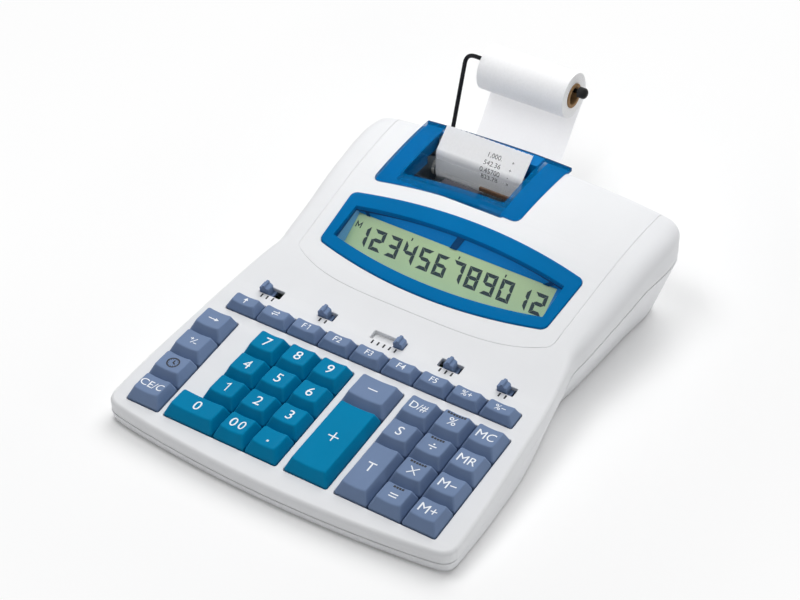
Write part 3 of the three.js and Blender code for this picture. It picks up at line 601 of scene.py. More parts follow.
# Look, colour, roughness, depth and scale of the grain, patchiness, wear of the edges, reflection
PLASTICS = [
    ("case", CASE_WHITE, 0.5, 0.012, 1800, 0.012, 0.02, 0.5),
    ("blue_key", BLUE, 0.42, 0.008, 2500, 0.05, 0, 0.08),
    ("grey_key", GREY_BLUE, 0.46, 0.01, 2500, 0.04, 0, 0.2),
    ("black", srgb(18, 18, 20), 0.3, 0.01, 2500, 0.1, 0.01, 0.12),
    ("rubber", srgb(38, 38, 42), 0.75, 0.03, 2500, 0.12, 0.04, 0.5),
    ("mat", srgb(190, 196, 200), 0.7, 0.02, 2500, 0.05, 0.02, 0.5),
    ("gear", srgb(214, 212, 204), 0.42, 0.01, 2500, 0.04, 0.03, 0.5),
    ("legend", srgb(238, 241, 246), 0.5, 0.004, 2500, 0.02, 0, 0.5),
    ("mark", srgb(30, 32, 38), 0.5, 0.004, 2500, 0.05, 0, 0.5),
    ("segment", srgb(22, 38, 34), 0.4, 0.002, 2500, 0.05, 0, 0.5),
    # The hood's blue is its own colour, lifted a little above the window's tint to make up for its shade; the
    # paler copy is painted light for the left wall, as lit.
    ("hood", srgb(0, 120, 192), 0.35, 0.006, 2500, 0.06, 0, 0.12),
    ("hood_side", srgb(120, 180, 222), 0.45, 0.006, 2500, 0.04, 0, 0.2),
    # Dark blue for the hood's ribs and the strips at the cover's back edge; painted shade for the dark rim
    # inside the display's opening.
    ("gasket", srgb(0, 58, 104), 0.4, 0.006, 2500, 0.06, 0, 0.12),
    ("backing", srgb(0, 114, 182), 0.4, 0.006, 2500, 0.04, 0, 0.1),
    ("felt", srgb(104, 80, 64), 0.9, 0.05, 1400, 0.15, 0, 0.5),
    ("ink", srgb(26, 24, 40), 0.85, 0.06, 1200, 0.2, 0.02, 0.5),
]


def make_looks():
    for row in PLASTICS:
        plastic(*row)
    for name, alpha in (("tinted", 0.45), ("tinted_ring", 0.78)):
        tinted(name, alpha)
    clear("clear", srgb(60, 120, 170), 0.03)
    clear("tear_clear", srgb(225, 231, 236), 0.07)
    metal("wire", srgb(40, 41, 44), 0.12, 240)
    metal("mechanism", srgb(128, 146, 158), 0.34, 90)
    lcd_look()
    paper_looks()
    card_look()
    board_look()


def tinted(name, alpha):
    look = Look(name, TINT, 0.12, Alpha=alpha, IOR=1.49, Specular_IOR_Level=0.05)
    look.paint(look.mottled(look.noise(18, 3), 0.95, 1.05))
    look.gloss(look.noise(45, 4), 0.07, 0.14)
    look.bump(look.noise(140, 1), 0.004)


def clear(name, color, alpha):
    look = Look(name, color, 0.06, Alpha=alpha, IOR=1.49, Specular_IOR_Level=0.03)
    look.paint(look.mottled(look.noise(30, 3), 0.97, 1.02))
    look.gloss(look.noise(50, 4), 0.04, 0.09)


def lcd_look():
    look = Look("lcd", LCD_GREEN, 0.3, Coat_Weight=0.3, Coat_Roughness=0.05)
    look.paint(look.mottled(look.noise(22, 3), 0.95, 1.05))
    look.bump(look.noise(3000, 2), 0.004)


def paper_looks():
    white = srgb(252, 252, 253)
    for name in ("paper", "sheet_paper"):
        look = Look(name, white, 0.82, Specular_IOR_Level=0.1)
        look.paint(look.mottled(look.noise(700, 4, 0.6, (1, 0.35, 1)), 0.97, 1.02))
        look.bump(look.noise(1800, 3, 0.6), 0.006)
    # The single sheet behind the case lets light through; inside the case there is none behind it.
    along = look.add("SeparateXYZ", look.place).outputs[1]
    through = look.add("BsdfTranslucent", Color=(*white, 1))
    look.mixed_surface(look.ranged(along, 0.09, 0.12, 0.03, 0.6), look.shader, through, "Material Output")
    # The ends of the roll show its turns.
    look = Look("wound_paper", white, 0.85)
    from_axis = look.add("VectorMath", look.place, (0, *place((0, *ROLL)).yz), operation="SUBTRACT")
    split = look.add("SeparateXYZ", from_axis.outputs[0])
    across = look.add("CombineXYZ", 0, split.outputs[1], split.outputs[2])
    length = look.add("VectorMath", across.outputs[0], operation="LENGTH").outputs["Value"]
    turns = look.calc("SINE", look.calc("MULTIPLY", length, math.tau / (0.35 * MM)))
    look.paint(look.ramp(look.ranged(turns, -1, 1, 0, 1), [(0.1, shade(white, 0.86)), (0.6, white)]))
    look.bump(turns, 0.02)


def card_look():
    look = Look("card", srgb(150, 118, 80), 0.85)
    look.paint(look.mottled(look.noise(420, 5, 0.6, (0.3, 1, 1)), 0.8, 1.12))
    look.bump(look.noise(1500, 3), 0.02)


def metal(name, color, roughness, scale):
    look = Look(name, color, roughness, Metallic=1)
    look.paint(look.mottled(look.noise(scale, 4, 0.6, (0.2, 1, 1)), 0.86, 1.08))
    look.gloss(look.noise(scale / 2, 3), roughness - 0.06, roughness + 0.08)
    look.bump(look.noise(scale * 8, 2), 0.003)


def board_look():
    green = srgb(38, 92, 58)
    pale = shade(green, 1.35)
    look = Look("board", green, 0.4, Coat_Weight=0.3)
    tracks = look.noise(160, 2, 0.4)
    look.paint(look.ramp(tracks, [(0.48, green), (0.5, pale), (0.52, pale), (0.54, green)]))
    look.bump(tracks, 0.03)


make_looks()


# Outlines in plan and cutters

def arc_corner(point, before, after, radius, steps):
    """Points round one corner of an outline."""
    corner = Vector(point)
    to_before = (Vector(before) - corner).normalized()
    to_after = (Vector(after) - corner).normalized()
    half_angle = to_before.angle(to_after) / 2
    reach = radius / math.tan(half_angle)
    start = corner + to_before * reach
    end = corner + to_after * reach
    centre = corner + (to_before + to_after).normalized() * (radius / math.sin(half_angle))
    a, b = start - centre, end - centre
    turn = a.angle_signed(b)
    points = []
    for i in range(steps + 1):
        angle = -turn * i / steps
        spun = Vector((a.x * math.cos(angle) - a.y * math.sin(angle),
                       a.x * math.sin(angle) + a.y * math.cos(angle)))
        points.append(tuple(centre + spun))
    return points


def rounded(corners, radius, steps=5):
    points = []
    for i, corner in enumerate(corners):
        points += arc_corner(corner, corners[i - 1], corners[(i + 1) % len(corners)], radius, steps)
    return points


def rectangle(x0, x1, y0, y1):
    return [(x0, y0), (x1, y0), (x1, y1), (x0, y1)]


def rim_cutter(at, outline, depth, rim, steps=4, above=CLEARANCE * 2):
    """A cutter through a surface that leaves a rounded rim; at places a point by its height over it."""
    rings = [lifted(at, outline, -depth)]
    for wider, below in rounding(rim, steps):
        grown = inset(outline, -wider)
        rings.append(lifted(at, grown, -below))
    return ring_body("cutter", rings + [lifted(at, grown, above)])


def cross_body(name, profile, x0, x1):
    """A solid swept along X over a closed outline of (y, z)."""
    rings = [[(x, y, z) for y, z in profile] for x in (x0, x1)]
    return ring_body(name, rings, tessellate_polygon([[Vector((0, y, z)) for y, z in profile]]))


def top_layer(depth0, depth1):
    """A layer that follows the top of the case between two depths below it."""
    stations = [-OVERRUN, DECK_LENGTH - CREASE_BLEND]
    stations += [DECK_LENGTH + CREASE_BLEND * i / 4 for i in range(-3, 5)]
    stations += [lerp(HEAD_END, DEPTH, i / 28) for i in range(29)]
    stations.append(DEPTH + OVERRUN)
    lower = [(y, top_height(y) - depth1) for y in stations]
    upper = [(y, top_height(y) - depth0) for y in reversed(stations)]
    reach = HALF_WIDTH + OVERRUN
    return cross_body("layer", lower + upper, -reach, reach)


def layer_over(name, outline, depth0, depth1):
    """What a layer under the top of the case has inside an outline."""
    return carve(slab(name, outline, 0, CEILING), [top_layer(depth0, depth1)], "INTERSECT")


# Outlines on the head

def bowed(half, y, bulge, first, last, steps):
    """A line across between two shares of the half width, bowed by the bulge in its middle."""
    return [(t * half, y + bulge * (1 - t * t)) for t in (lerp(first, last, s) for s in shares(steps))]


def lens_outline():
    corner = 0.965
    rise = LENS_TOP_Y - LENS_BOTTOM_Y
    bottom = bowed(LENS_BOTTOM_HALF, LENS_BOTTOM_Y, -LENS_BULGE, -corner, corner, 24)
    top = bowed(LENS_TOP_HALF, LENS_TOP_Y, LENS_BULGE, corner, -corner, 24)
    side = bend(bottom[-1], (LENS_BOTTOM_HALF, LENS_BOTTOM_Y + rise * 0.02),
                (LENS_BOTTOM_HALF, LENS_BOTTOM_Y + rise * 0.09), shares(5))
    side += bend((LENS_TOP_HALF, LENS_TOP_Y - rise * 0.09), (LENS_TOP_HALF, LENS_TOP_Y - rise * 0.02),
                 top[0], shares(5))
    mirrored = [(-x, y) for x, y in reversed(side)]
    return bottom[:-1] + side + top[1:-1] + mirrored[:-1]


def view_outline(grow=0):
    points = bowed(VIEW_HALF, VIEW_BOTTOM_Y, -VIEW_BULGE, -1, 1, 20)
    points += bowed(VIEW_HALF, VIEW_TOP_Y, VIEW_CROWN, 1, -1, 20)
    return inset(points, -grow) if grow else points


def cover_front(x):
    t = x / LENS_TOP_HALF
    return LENS_TOP_Y + LENS_BULGE * (1 - t * t) + COVER_GAP


def slot_edge(grow):
    """The cut's front edge from right to left, rounded at both ends, grown outwards."""
    x0, x1 = SLOT_LEFT - grow, SLOT_RIGHT + grow
    y_at = lambda x: cover_front(x) + SLOT_BAND - grow
    turn, beyond = 2.2, 20
    front = [(x, y_at(x)) for x in (lerp(x1 - turn, x0 + turn, s) for s in shares(14))]
    points = arc_corner((x1, y_at(x1)), (x1, y_at(x1) + beyond), front[0], turn, 5) + front[1:-1]
    return points + arc_corner((x0, y_at(x0)), front[-1], (x0, y_at(x0) + beyond), turn, 5)


def cover_outline(back_inset, with_slot=False, grow=0):
    x0, x1 = COVER_LEFT, COVER_RIGHT - 1
    flare = COVER_RIGHT + 1.6
    at_front = lambda x, back=0: (x, cover_front(x) + back)
    at_back = lambda x: (x, back_edge(x) - back_inset)
    left_end, right_start = x0 + COVER_CORNER, x1 - COVER_CORNER
    points = bend(at_front(x0, COVER_CORNER), at_front(x0), at_front(left_end), shares(5))
    points += [at_front(lerp(left_end, right_start, s)) for s in shares(16)[1:-1]]
    points += bend(at_front(right_start), at_front(x1), at_front(x1, COVER_CORNER), shares(5))
    points.append(at_back(flare))
    if with_slot:
        inner = slot_edge(-SKIRT)
        points += [at_back(inner[0][0]), *inner, at_back(inner[-1][0])]
    points.append(at_back(x0))
    return inset(points, -grow) if grow else points


# Case

def case_body(name, levels):
    """A body through rings of the case's outline; each level is an inset and a height, both by place."""
    outline = case_outline(6)
    rings = []
    for inset_at, height_at in levels:
        moved = inset(outline, inset_at)
        rings.append([(x, y, height_at(y0, y)) for (x, y), (_, y0) in zip(moved, outline)])
    return ring_body(name, rings, mirrored_rows(len(outline)))


def parting_shows(y):
    """How open the parting is: plain in front and below the head, nearly closed between."""
    closed = smoothstep(y, *PARTING_CLOSES) - smoothstep(y, *PARTING_OPENS)
    return 1 - PARTING_CLOSED * closed


def upper_shell():
    step = lambda y: PARTING_STEP * parting_shows(y)
    levels = [(step, lambda y0, y: parting_height(y0)),
              (lambda y: step(y) * 0.85, lambda y0, y: parting_height(y0) + step(y0) * 0.25),
              (0, lambda y0, y: parting_height(y0) + 3.4)]
    for into, below in rounding(1, 9):
        levels.append((lambda y, i=into: edge_radius(y) * i,
                       lambda y0, y, b=below: top_height(y) - edge_radius(y0) * b))
    return case_body("case_top", levels)


def upper_hollow():
    return case_body("cutter", [
        (WALL, lambda y0, y: parting_height(y0) - WALL),
        (WALL, lambda y0, y: top_height(y) - WALL - edge_radius(y0)),
        (lambda y: WALL + edge_radius(y) / 2, lambda y0, y: top_height(y) - WALL)])


def seam_cutter():
    """The fine groove round the display and the printer, which runs on over the back edge."""
    corner_x, back_x = 81, 86
    front_y, bulge, corner = 133, 13, 5
    width, depth = 0.5, 0.4
    side_y = front_y + bulge + corner
    half = [(corner_x * t, front_y + bulge * t ** 4) for t in (i / 14 * 0.965 for i in range(15))]
    half += bend(half[-1], (corner_x, front_y + bulge), (corner_x, side_y), (0.25, 0.5, 0.75, 1))
    half += [(lerp(corner_x, back_x, s), lerp(side_y, DEPTH + 4, s)) for s in shares(46)[1:]]
    line = half + [(-x, y) for x, y in half[:0:-1]]

    def low(x, y):
        edge = back_edge(x) - y
        drop = 0
        if edge < HEAD_EDGE:
            drop = HEAD_EDGE - math.sqrt(max(HEAD_EDGE ** 2 - (HEAD_EDGE - max(edge, 0)) ** 2, 0))
        return top_height(y) - drop - depth

    rails = []
    for side, lift in ((-1, depth * 0.4), (-1, OVERRUN / 2), (1, OVERRUN / 2), (1, depth * 0.4), (0, 0)):
        moved = inset(line, side * width / 2)
        rails.append([(x, y, low(*spot) + lift) for (x, y), spot in zip(moved, line)])
    return loop_body("cutter", rails)


def make_case_top():
    shell, hollow = upper_shell(), upper_hollow()
    lens = lens_outline()
    seats = [inset(outline, -SEAT_BOSS) for outline in (lens, cover_outline(-OVERRUN))]
    carve(hollow, [layer_over("boss", seat, WALL / 2, BOSS_DEPTH) for seat in seats])
    carve(shell, [hollow])
    cutters = [rim_cutter(head_point, inset(lens, -CLEARANCE), LENS_THICKNESS - LENS_PROUD + CLEARANCE,
                          0.3, 3, OVERRUN)]
    cutters.append(slab("cutter", view_outline(VIEW_ROOM), -BOSS_DEPTH - OVERRUN, 1, head_point))
    cutters.append(layer_over("cutter", cover_outline(-OVERRUN, grow=CLEARANCE), -OVERRUN,
                              COVER_THICKNESS - COVER_PROUD + CLEARANCE))
    bay = rounded(rectangle(SLOT_LEFT - LEDGE, SLOT_RIGHT + LEDGE, SLOT_FRONT - LEDGE,
                            back_edge(SLOT_LEFT) - WALL - HEAD_EDGE / 4), 2)
    cutters.append(slab("cutter", bay, 0, CEILING))
    cutters += [rim_cutter(on_deck, outline, WALL * 2, 0.5) for outline in well_outlines()]
    for name in SWITCHES:
        slot = rectangle(*slot_ends(name), SLOT_CENTRE - SLOT_DEPTH / 2, SLOT_CENTRE + SLOT_DEPTH / 2)
        cutters.append(rim_cutter(on_deck, rounded(slot, 0.6, 3), WALL * 2, 0.25))
    cutters.append(seam_cutter())
    carve(shell, cutters)
    finish_piece(shell, "case", "upper_case", sharp=30)


def lean_at(y):
    """How far the base leans in from its rim to the floor: a little in front, far more below the head."""
    along = smoothstep(y, DEPTH * DRAFT_START, DEPTH * DRAFT_END)
    return lerp(FOOT_LEAN, BASE_DRAFT * parting_height(y), along)


def rim_height(y):
    return parting_height(y) - PARTING_GAP * parting_shows(y)


def base_level(extra, height_at, leans=False):
    """A level of the base: its inset, with the lean towards the floor where it leans, and its height."""
    return (lambda y: BASE_INSET + extra + (lean_at(y) if leans else 0), lambda y0, y: height_at(y0))


def make_case_base():
    foot = 0.7
    levels = [base_level(into, lambda y, up=up: FOOT_HEIGHT + up, True)
              for into, up in ((foot, 0), (foot * 0.3, foot * 0.3), (0, foot))]
    levels += [base_level(into, lambda y, below=below: rim_height(y) - below)
               for into, below in ((0, 0.55), (0.18, 0.16), (0.6, 0), (1.2, 0))]
    shell = case_body("case_base", levels)
    cutters = [case_body("cutter", [base_level(WALL + foot, lambda y: FOOT_HEIGHT + FLOOR, True),
                                    base_level(WALL, lambda y: parting_height(y) + WALL)])]
    gap = CLEARANCE * 4
    half = PAPER_WIDTH / 2 + gap
    path_z = PLATEN[1] - PLATEN_RADIUS - CLEARANCE - 0.25
    cutters.append(box_between("cutter", (PAPER_CENTRE - half, PAPER_CENTRE + half),
                               (PLATEN[0], DEPTH + OVERRUN), (path_z - gap, path_z + gap)))
    back = (DEPTH - OVERRUN, DEPTH + OVERRUN)
    cutters.append(rod("cutter", (ARM_X, back[0], ARM_Z), (ARM_X, back[1], ARM_Z),
                       [(share, WIRE_RADIUS + CLEARANCE) for share in (0, 1)], 24))
    across, up = INLET_HALF_WIDTH + CLEARANCE, INLET_HALF_HEIGHT
    cutters.append(box_between("cutter", (INLET_X - across, INLET_X + across), back,
                               (INLET_Z - up - CLEARANCE, INLET_Z + up + CLEARANCE)))
    carve(shell, cutters)
    finish_piece(shell, "case", "lower_case", sharp=30)
    spots = [(side, y) for y in (FOOT_INSET, DEPTH - FOOT_INSET * 2) for side in (-1, 1)]
    for i, (side, y) in enumerate(spots):
        x = side * (HALF_WIDTH - FOOT_INSET * 2)
        pad = rod(f"foot_{i + 1}", (x, y, 0), (x, y, FOOT_HEIGHT + 0.3),
                  [(0, FOOT_RADIUS - 0.5), (0.3, FOOT_RADIUS), (1, FOOT_RADIUS)], 40)
        finish_piece(pad, "rubber")


# Keyboard places in the deck's own frame

def key_places():
    """Look, sides, front, back and kind of every key."""
    row = lambda i: KEY_FRONT + i * ROW_PITCH
    column = lambda i: NUMBER_X + i * KEY_PITCH
    right = lambda i: RIGHT_X + i * KEY_PITCH
    spots = {}

    def put(name, look, x0, x1, u0, u1, kind=HIGH_KEY):
        spots[f"key_{name}"] = (look, x0, x1, u0, u1, kind)

    for i, name in enumerate(("clear", "clock", "sign", "shift")):
        put(name, "grey_key", LEFT_X, LEFT_X + LEFT_WIDTH, row(i), row(i + 1))
    for i, (name, wider) in enumerate((("0", ZERO_EXTRA), ("00", 0), ("point", 0))):
        put(name, "blue_key", column(i) - wider, column(i + 1), row(0), row(1))
    for i in range(9):
        c, r = i % 3, i // 3 + 1
        put(str(i + 1), "blue_key", column(c), column(c + 1), row(r), row(r + 1))
    plus_back = KEY_FRONT + PLUS_DEPTH
    put("plus", "blue_key", ADD_X, ADD_X + ADD_WIDTH, KEY_FRONT, plus_back)
    put("minus", "grey_key", ADD_X, ADD_X + ADD_WIDTH, plus_back, row(4))
    for name, first, last in (("total", 0, 2), ("subtotal", 2, 3), ("date", 3, 4)):
        put(name, "grey_key", right(0), right(1), row(first), row(last))
    for c, names in ((1, ("equals", "multiply", "divide", "percent")),
                     (2, ("memory_add", "memory_subtract", "memory_recall", "memory_clear"))):
        for i, name in enumerate(names):
            put(name, "grey_key", right(c), right(c + 1), row(i), row(i + 1))
    for i, name in enumerate(("feed", "convert", "f1", "f2", "f3", "f4", "f5", "f6", "f7")):
        x0 = (i - TOP_ROW_COLUMNS / 2) * KEY_PITCH
        put(name, "grey_key", x0, x0 + KEY_PITCH, TOP_ROW_FRONT, TOP_ROW_FRONT + TOP_ROW_DEPTH, LOW_KEY)
    return spots


KEYS = key_places()


def well_outlines():
    grow = WELL_CLEARANCE - KEY_GAP / 2

    def span(first, last):
        a, b = KEYS[first], KEYS[last]
        return a[1] - grow, b[2] + grow, min(a[3], b[3]) - grow, max(a[4], b[4]) + grow

    x0, x1, u0, u1 = span("key_0", "key_9")
    step_u = span("key_0", "key_0")[3]
    number_x = span("key_1", "key_9")[0]
    numbers = [(x0, u0), (x1, u0), (x1, u1), (number_x, u1), (number_x, step_u), (x0, step_u)]
    pairs = (("clear", "shift"), ("plus", "minus"), ("total", "memory_clear"), ("feed", "f7"))
    blocks = [rectangle(*span(f"key_{first}", f"key_{last}")) for first, last in pairs]
    return [rounded(block, 1.3, 4) for block in (blocks[0], numbers, *blocks[1:])]


def switch_middle(name):
    return SWITCHES[name][0] * TOP_ROW_COLUMNS * KEY_PITCH


def slot_ends(name):
    centre = switch_middle(name)
    half = ((SWITCHES[name][1] - 1) * SWITCH_STEP + KNOB_WIDTH) / 2 + CLEARANCE
    return centre - half, centre + half


def switch_centre(name):
    _, positions, rest = SWITCHES[name]
    return switch_middle(name) + rest * SWITCH_STEP - (positions - 1) * SWITCH_STEP / 2


# Keys

def rounded_ring(x0, x1, u0, u1, corner):
    """Front edge left to right, then the back edge right to left, at matching places across."""
    arc = rounding(corner, 4)
    front = [(x0 + across, u0 + along) for across, along in arc]
    front += [(lerp(x0 + corner, x1 - corner, t), u0) for t in shares(12)[1:-1]]
    front += [(x1 - across, u0 + along) for across, along in reversed(arc)]
    return front + [(x, u0 + u1 - u) for x, u in reversed(front)]


def key_top(spot, x, u):
    """Height of a key's dished top above the deck, within its rim."""
    _, x0, x1, u0, u1, kind = spot
    gap = KEY_GAP / 2
    half = (x1 - x0) / 2 - gap - SIDE_SETBACK
    front, back = u0 + gap + kind["setback"], u1 - gap - BACK_SETBACK
    rim = lerp(kind["front"], kind["back"], (u - front) / (back - front))
    share = min(abs(x - (x0 + x1) / 2) / half, 1)
    return rim - KEY_DISH * (1 - share * share)


def make_key(name):
    spot = KEYS[name]
    look, x0, x1, u0, u1, kind = spot
    gap, setback = KEY_GAP / 2, kind["setback"]
    x0, x1, u0, u1 = x0 + gap, x1 - gap, u0 + gap, u1 - gap
    cx, cu = (x0 + x1) / 2, (u0 + u1) / 2
    stem, stem_end = 2.5, 5.1
    turn, soft = 0.6, 0.75
    corner, stem_corner, rim_corner, crown_corner = 1.1, 0.6, 1.3, 0.9
    outer = rounded_ring(x0, x1, u0, u1, corner)
    post = rounded_ring(cx - stem, cx + stem, cu - stem, cu + stem, stem_corner)
    rim = rounded_ring(x0 + SIDE_SETBACK, x1 - SIDE_SETBACK, u0 + setback, u1 - BACK_SETBACK, rim_corner)
    inner = rounded_ring(x0 + SIDE_SETBACK + soft, x1 - SIDE_SETBACK - soft,
                         u0 + setback + soft, u1 - BACK_SETBACK - soft, crown_corner)
    level = lambda ring, w: [(x, u, w) for x, u in ring]
    crest, crown = ([(x, u, key_top(spot, x, u)) for x, u in ring] for ring in (rim, inner))
    shoulder = level(outer, KEY_SHOULDER)

    def part(a, b, reach):
        """Points on the way from one ring to another, a reach from the first."""
        return [tuple(Vector(p) + (Vector(q) - Vector(p)).normalized() * reach) for p, q in zip(a, b)]

    rings = [level(post, -stem_end), level(post, -KEY_SKIRT), level(outer, -KEY_SKIRT)]
    for a, b, c, steps in ((level(outer, KEY_SHOULDER - turn), shoulder, part(shoulder, crest, turn), 3),
                           (part(crest, shoulder, soft), crest, crown, 5)):
        rings += zip(*(bend(*corner, shares(steps)) for corner in zip(a, b, c)))
    count = len(outer)
    cap = [(i, i + 1, count - 2 - i, count - 1 - i) for i in range(count // 2 - 1)]
    obj = ring_body(f"{name}_top", [[on_deck(*p) for p in ring] for ring in rings], cap)
    finish_piece(obj, look, name, body=f"{name}_cap", sharp=50)


# Marks: lettering and strokes laid on a surface as a thin film

FILM = 0.05
DIGIT_SHARE = 0.729


def text_shape(text, size, bold=0.0):
    """Lettering centred on zero, with digits of the given height and strokes widened by bold."""
    curve = bpy.data.curves.new("lettering", "FONT")
    curve.body = text
    curve.size = size / DIGIT_SHARE
    curve.offset = bold
    curve.resolution_u = 4
    holder = linked("lettering", curve)
    graph = bpy.context.evaluated_depsgraph_get()
    mesh = bmesh.new()
    mesh.from_mesh(bpy.data.meshes.new_from_object(holder.evaluated_get(graph)))
    bpy.data.objects.remove(holder)
    bmesh.ops.remove_doubles(mesh, verts=mesh.verts, dist=1e-4)
    xs = [v.co.x for v in mesh.verts]
    ys = [v.co.y for v in mesh.verts]
    middle = Vector(((min(xs) + max(xs)) / 2, (min(ys) + max(ys)) / 2, 0))
    for vertex in mesh.verts:
        vertex.co -= middle
    return mesh


def stroke_shape(lines, width):
    """Ribbons along lines of points; a closed line repeats its first point."""
    mesh = bmesh.new()
    for line in lines:
        points = [Vector((x, y, 0)) for x, y in line]
        closed = (points[0] - points[-1]).length < 1e-6 and len(points) > 2
        if closed:
            points.pop()
        count = len(points)
        pairs = []
        for i, point in enumerate(points):
            before = points[i - 1] if closed or i else points[0]
            after = points[(i + 1) % count] if closed or i < count - 1 else points[-1]
            into = (point - before).normalized() if (point - before).length else (after - point).normalized()
            out = (after - point).normalized() if (after - point).length else into
            normal = Vector((-(into + out).y, (into + out).x, 0)).normalized()
            square = Vector((-into.y, into.x, 0))
            reach = width / 2 / max(normal.dot(square), 0.4)
            pairs.append((mesh.verts.new(point + normal * reach), mesh.verts.new(point - normal * reach)))
        for i in range(count if closed else count - 1):
            a, b = pairs[i], pairs[(i + 1) % count]
            mesh.faces.new((a[1], b[1], b[0], a[0]))
    return mesh


def filled_shape(points):
    mesh = bmesh.new()
    mesh.faces.new([mesh.verts.new((x, y, 0)) for x, y in points])
    return mesh


def circle_line(radius, steps):
    turns = [math.tau * i / steps for i in range(steps + 1)]
    return [(radius * math.cos(a), radius * math.sin(a)) for a in turns]


def film(name, mesh, surface, look, body="calculator", slice_width=0.8, film_height=FILM):
    """A thin printed film: the flat shape is sliced finely, laid on a surface and given a thickness."""
    xs = [v.co.x for v in mesh.verts]
    ys = [v.co.y for v in mesh.verts]
    for axis, low, high, step in ((0, min(xs), max(xs), slice_width), (1, min(ys), max(ys), slice_width * 2)):
        at = low + step
        while at < high - step / 4:
            point, normal = [0, 0, 0], [0, 0, 0]
            point[axis], normal[axis] = at, 1
            geometry = mesh.verts[:] + mesh.edges[:] + mesh.faces[:]
            bmesh.ops.bisect_plane(mesh, geom=geometry, plane_co=point, plane_no=normal)
            at += step
    bmesh.ops.triangulate(mesh, faces=mesh.faces)
    bmesh.ops.dissolve_degenerate(mesh, edges=mesh.edges, dist=1e-4)
    for face in mesh.faces:
        face.normal_update()
        if face.normal.z < 0:
            face.normal_flip()
    raised = bmesh.ops.extrude_face_region(mesh, geom=mesh.faces[:])["geom"]
    tops = {v for v in raised if isinstance(v, bmesh.types.BMVert)}
    for vertex in mesh.verts:
        height = film_height if vertex in tops else film_height / 4
        vertex.co = place(surface(vertex.co.x, vertex.co.y, height))
    bmesh.ops.recalc_face_normals(mesh, faces=mesh.faces)
    data = bpy.data.meshes.new(name)
    mesh.to_mesh(data)
    mesh.free()
    data.validate()
    finish_piece(linked(name, data), look, body=body)


def join_shapes(parts):
    """Several flat shapes in one, each moved to its own place."""
    whole = bmesh.new()
    for mesh, dx, dy in parts:
        data = bpy.data.meshes.new("part")
        for vertex in mesh.verts:
            vertex.co.x += dx
            vertex.co.y += dy
        mesh.to_mesh(data)
        mesh.free()
        whole.from_mesh(data)
        bpy.data.meshes.remove(data)
    return whole


def key_mark(name, mesh, look="legend", du=0.0, tag="mark"):
    """A mark in the middle of a key's top, or du up the slope from there."""
    spot = KEYS[name]
    _, x0, x1, u0, u1, kind = spot
    gap = KEY_GAP / 2
    cx = (x0 + x1) / 2
    cu = (u0 + gap + kind["setback"] + u1 - gap - BACK_SETBACK) / 2 + du
    surface = lambda x, y, w: on_deck(cx + x, cu + y, key_top(spot, cx + x, cu + y) + w)
    film(f"{name}_{tag}", mesh, surface, look, f"{name}_cap")


def figure_one(tall):
    return stroke_shape([[(-tall * 0.22, tall * 0.3), (tall * 0.06, tall / 2), (tall * 0.06, -tall / 2)]],
                        tall * 0.1)


def bar(half, y=0.0):
    return [(-half, y), (half, y)]


def sign(name, width, *lines, du=0.0):
    key_mark(name, stroke_shape(lines, width), du=du)


def arrow(name, shaft, head):
    key_mark(name, join_shapes([(stroke_shape([shaft], 0.6), 0, 0), (filled_shape(head), 0, 0)]))


LETTER_BOLD = 0.01
FIGURE_BOLD = 0.012
PRINT_BOLD = -0.008

# Key: lettering and its height
WORDS = {
    "key_clear": ("CE/C", 4.8), "key_total": ("T", 6.3), "key_subtotal": ("S", 6.2),
    "key_date": ("D/#", 4.8), "key_memory_add": ("M+", 5.9), "key_memory_subtract": ("M−", 5.7),
    "key_memory_recall": ("MR", 5.7), "key_memory_clear": ("MC", 5.5), "key_percent": ("%", 5.6),
    "key_f2": ("F2", 3.8), "key_f3": ("F3", 3.8), "key_f4": ("F4", 3.8),
    "key_f5": ("F5", 3.8), "key_f6": ("%+", 3.8), "key_f7": ("%−", 3.8),
}

# Keys with a row of small black bars behind the sign, and its half width
NOTES = {"key_percent": 5.6, "key_divide": 4.0, "key_multiply": 4.8, "key_equals": 3.2}


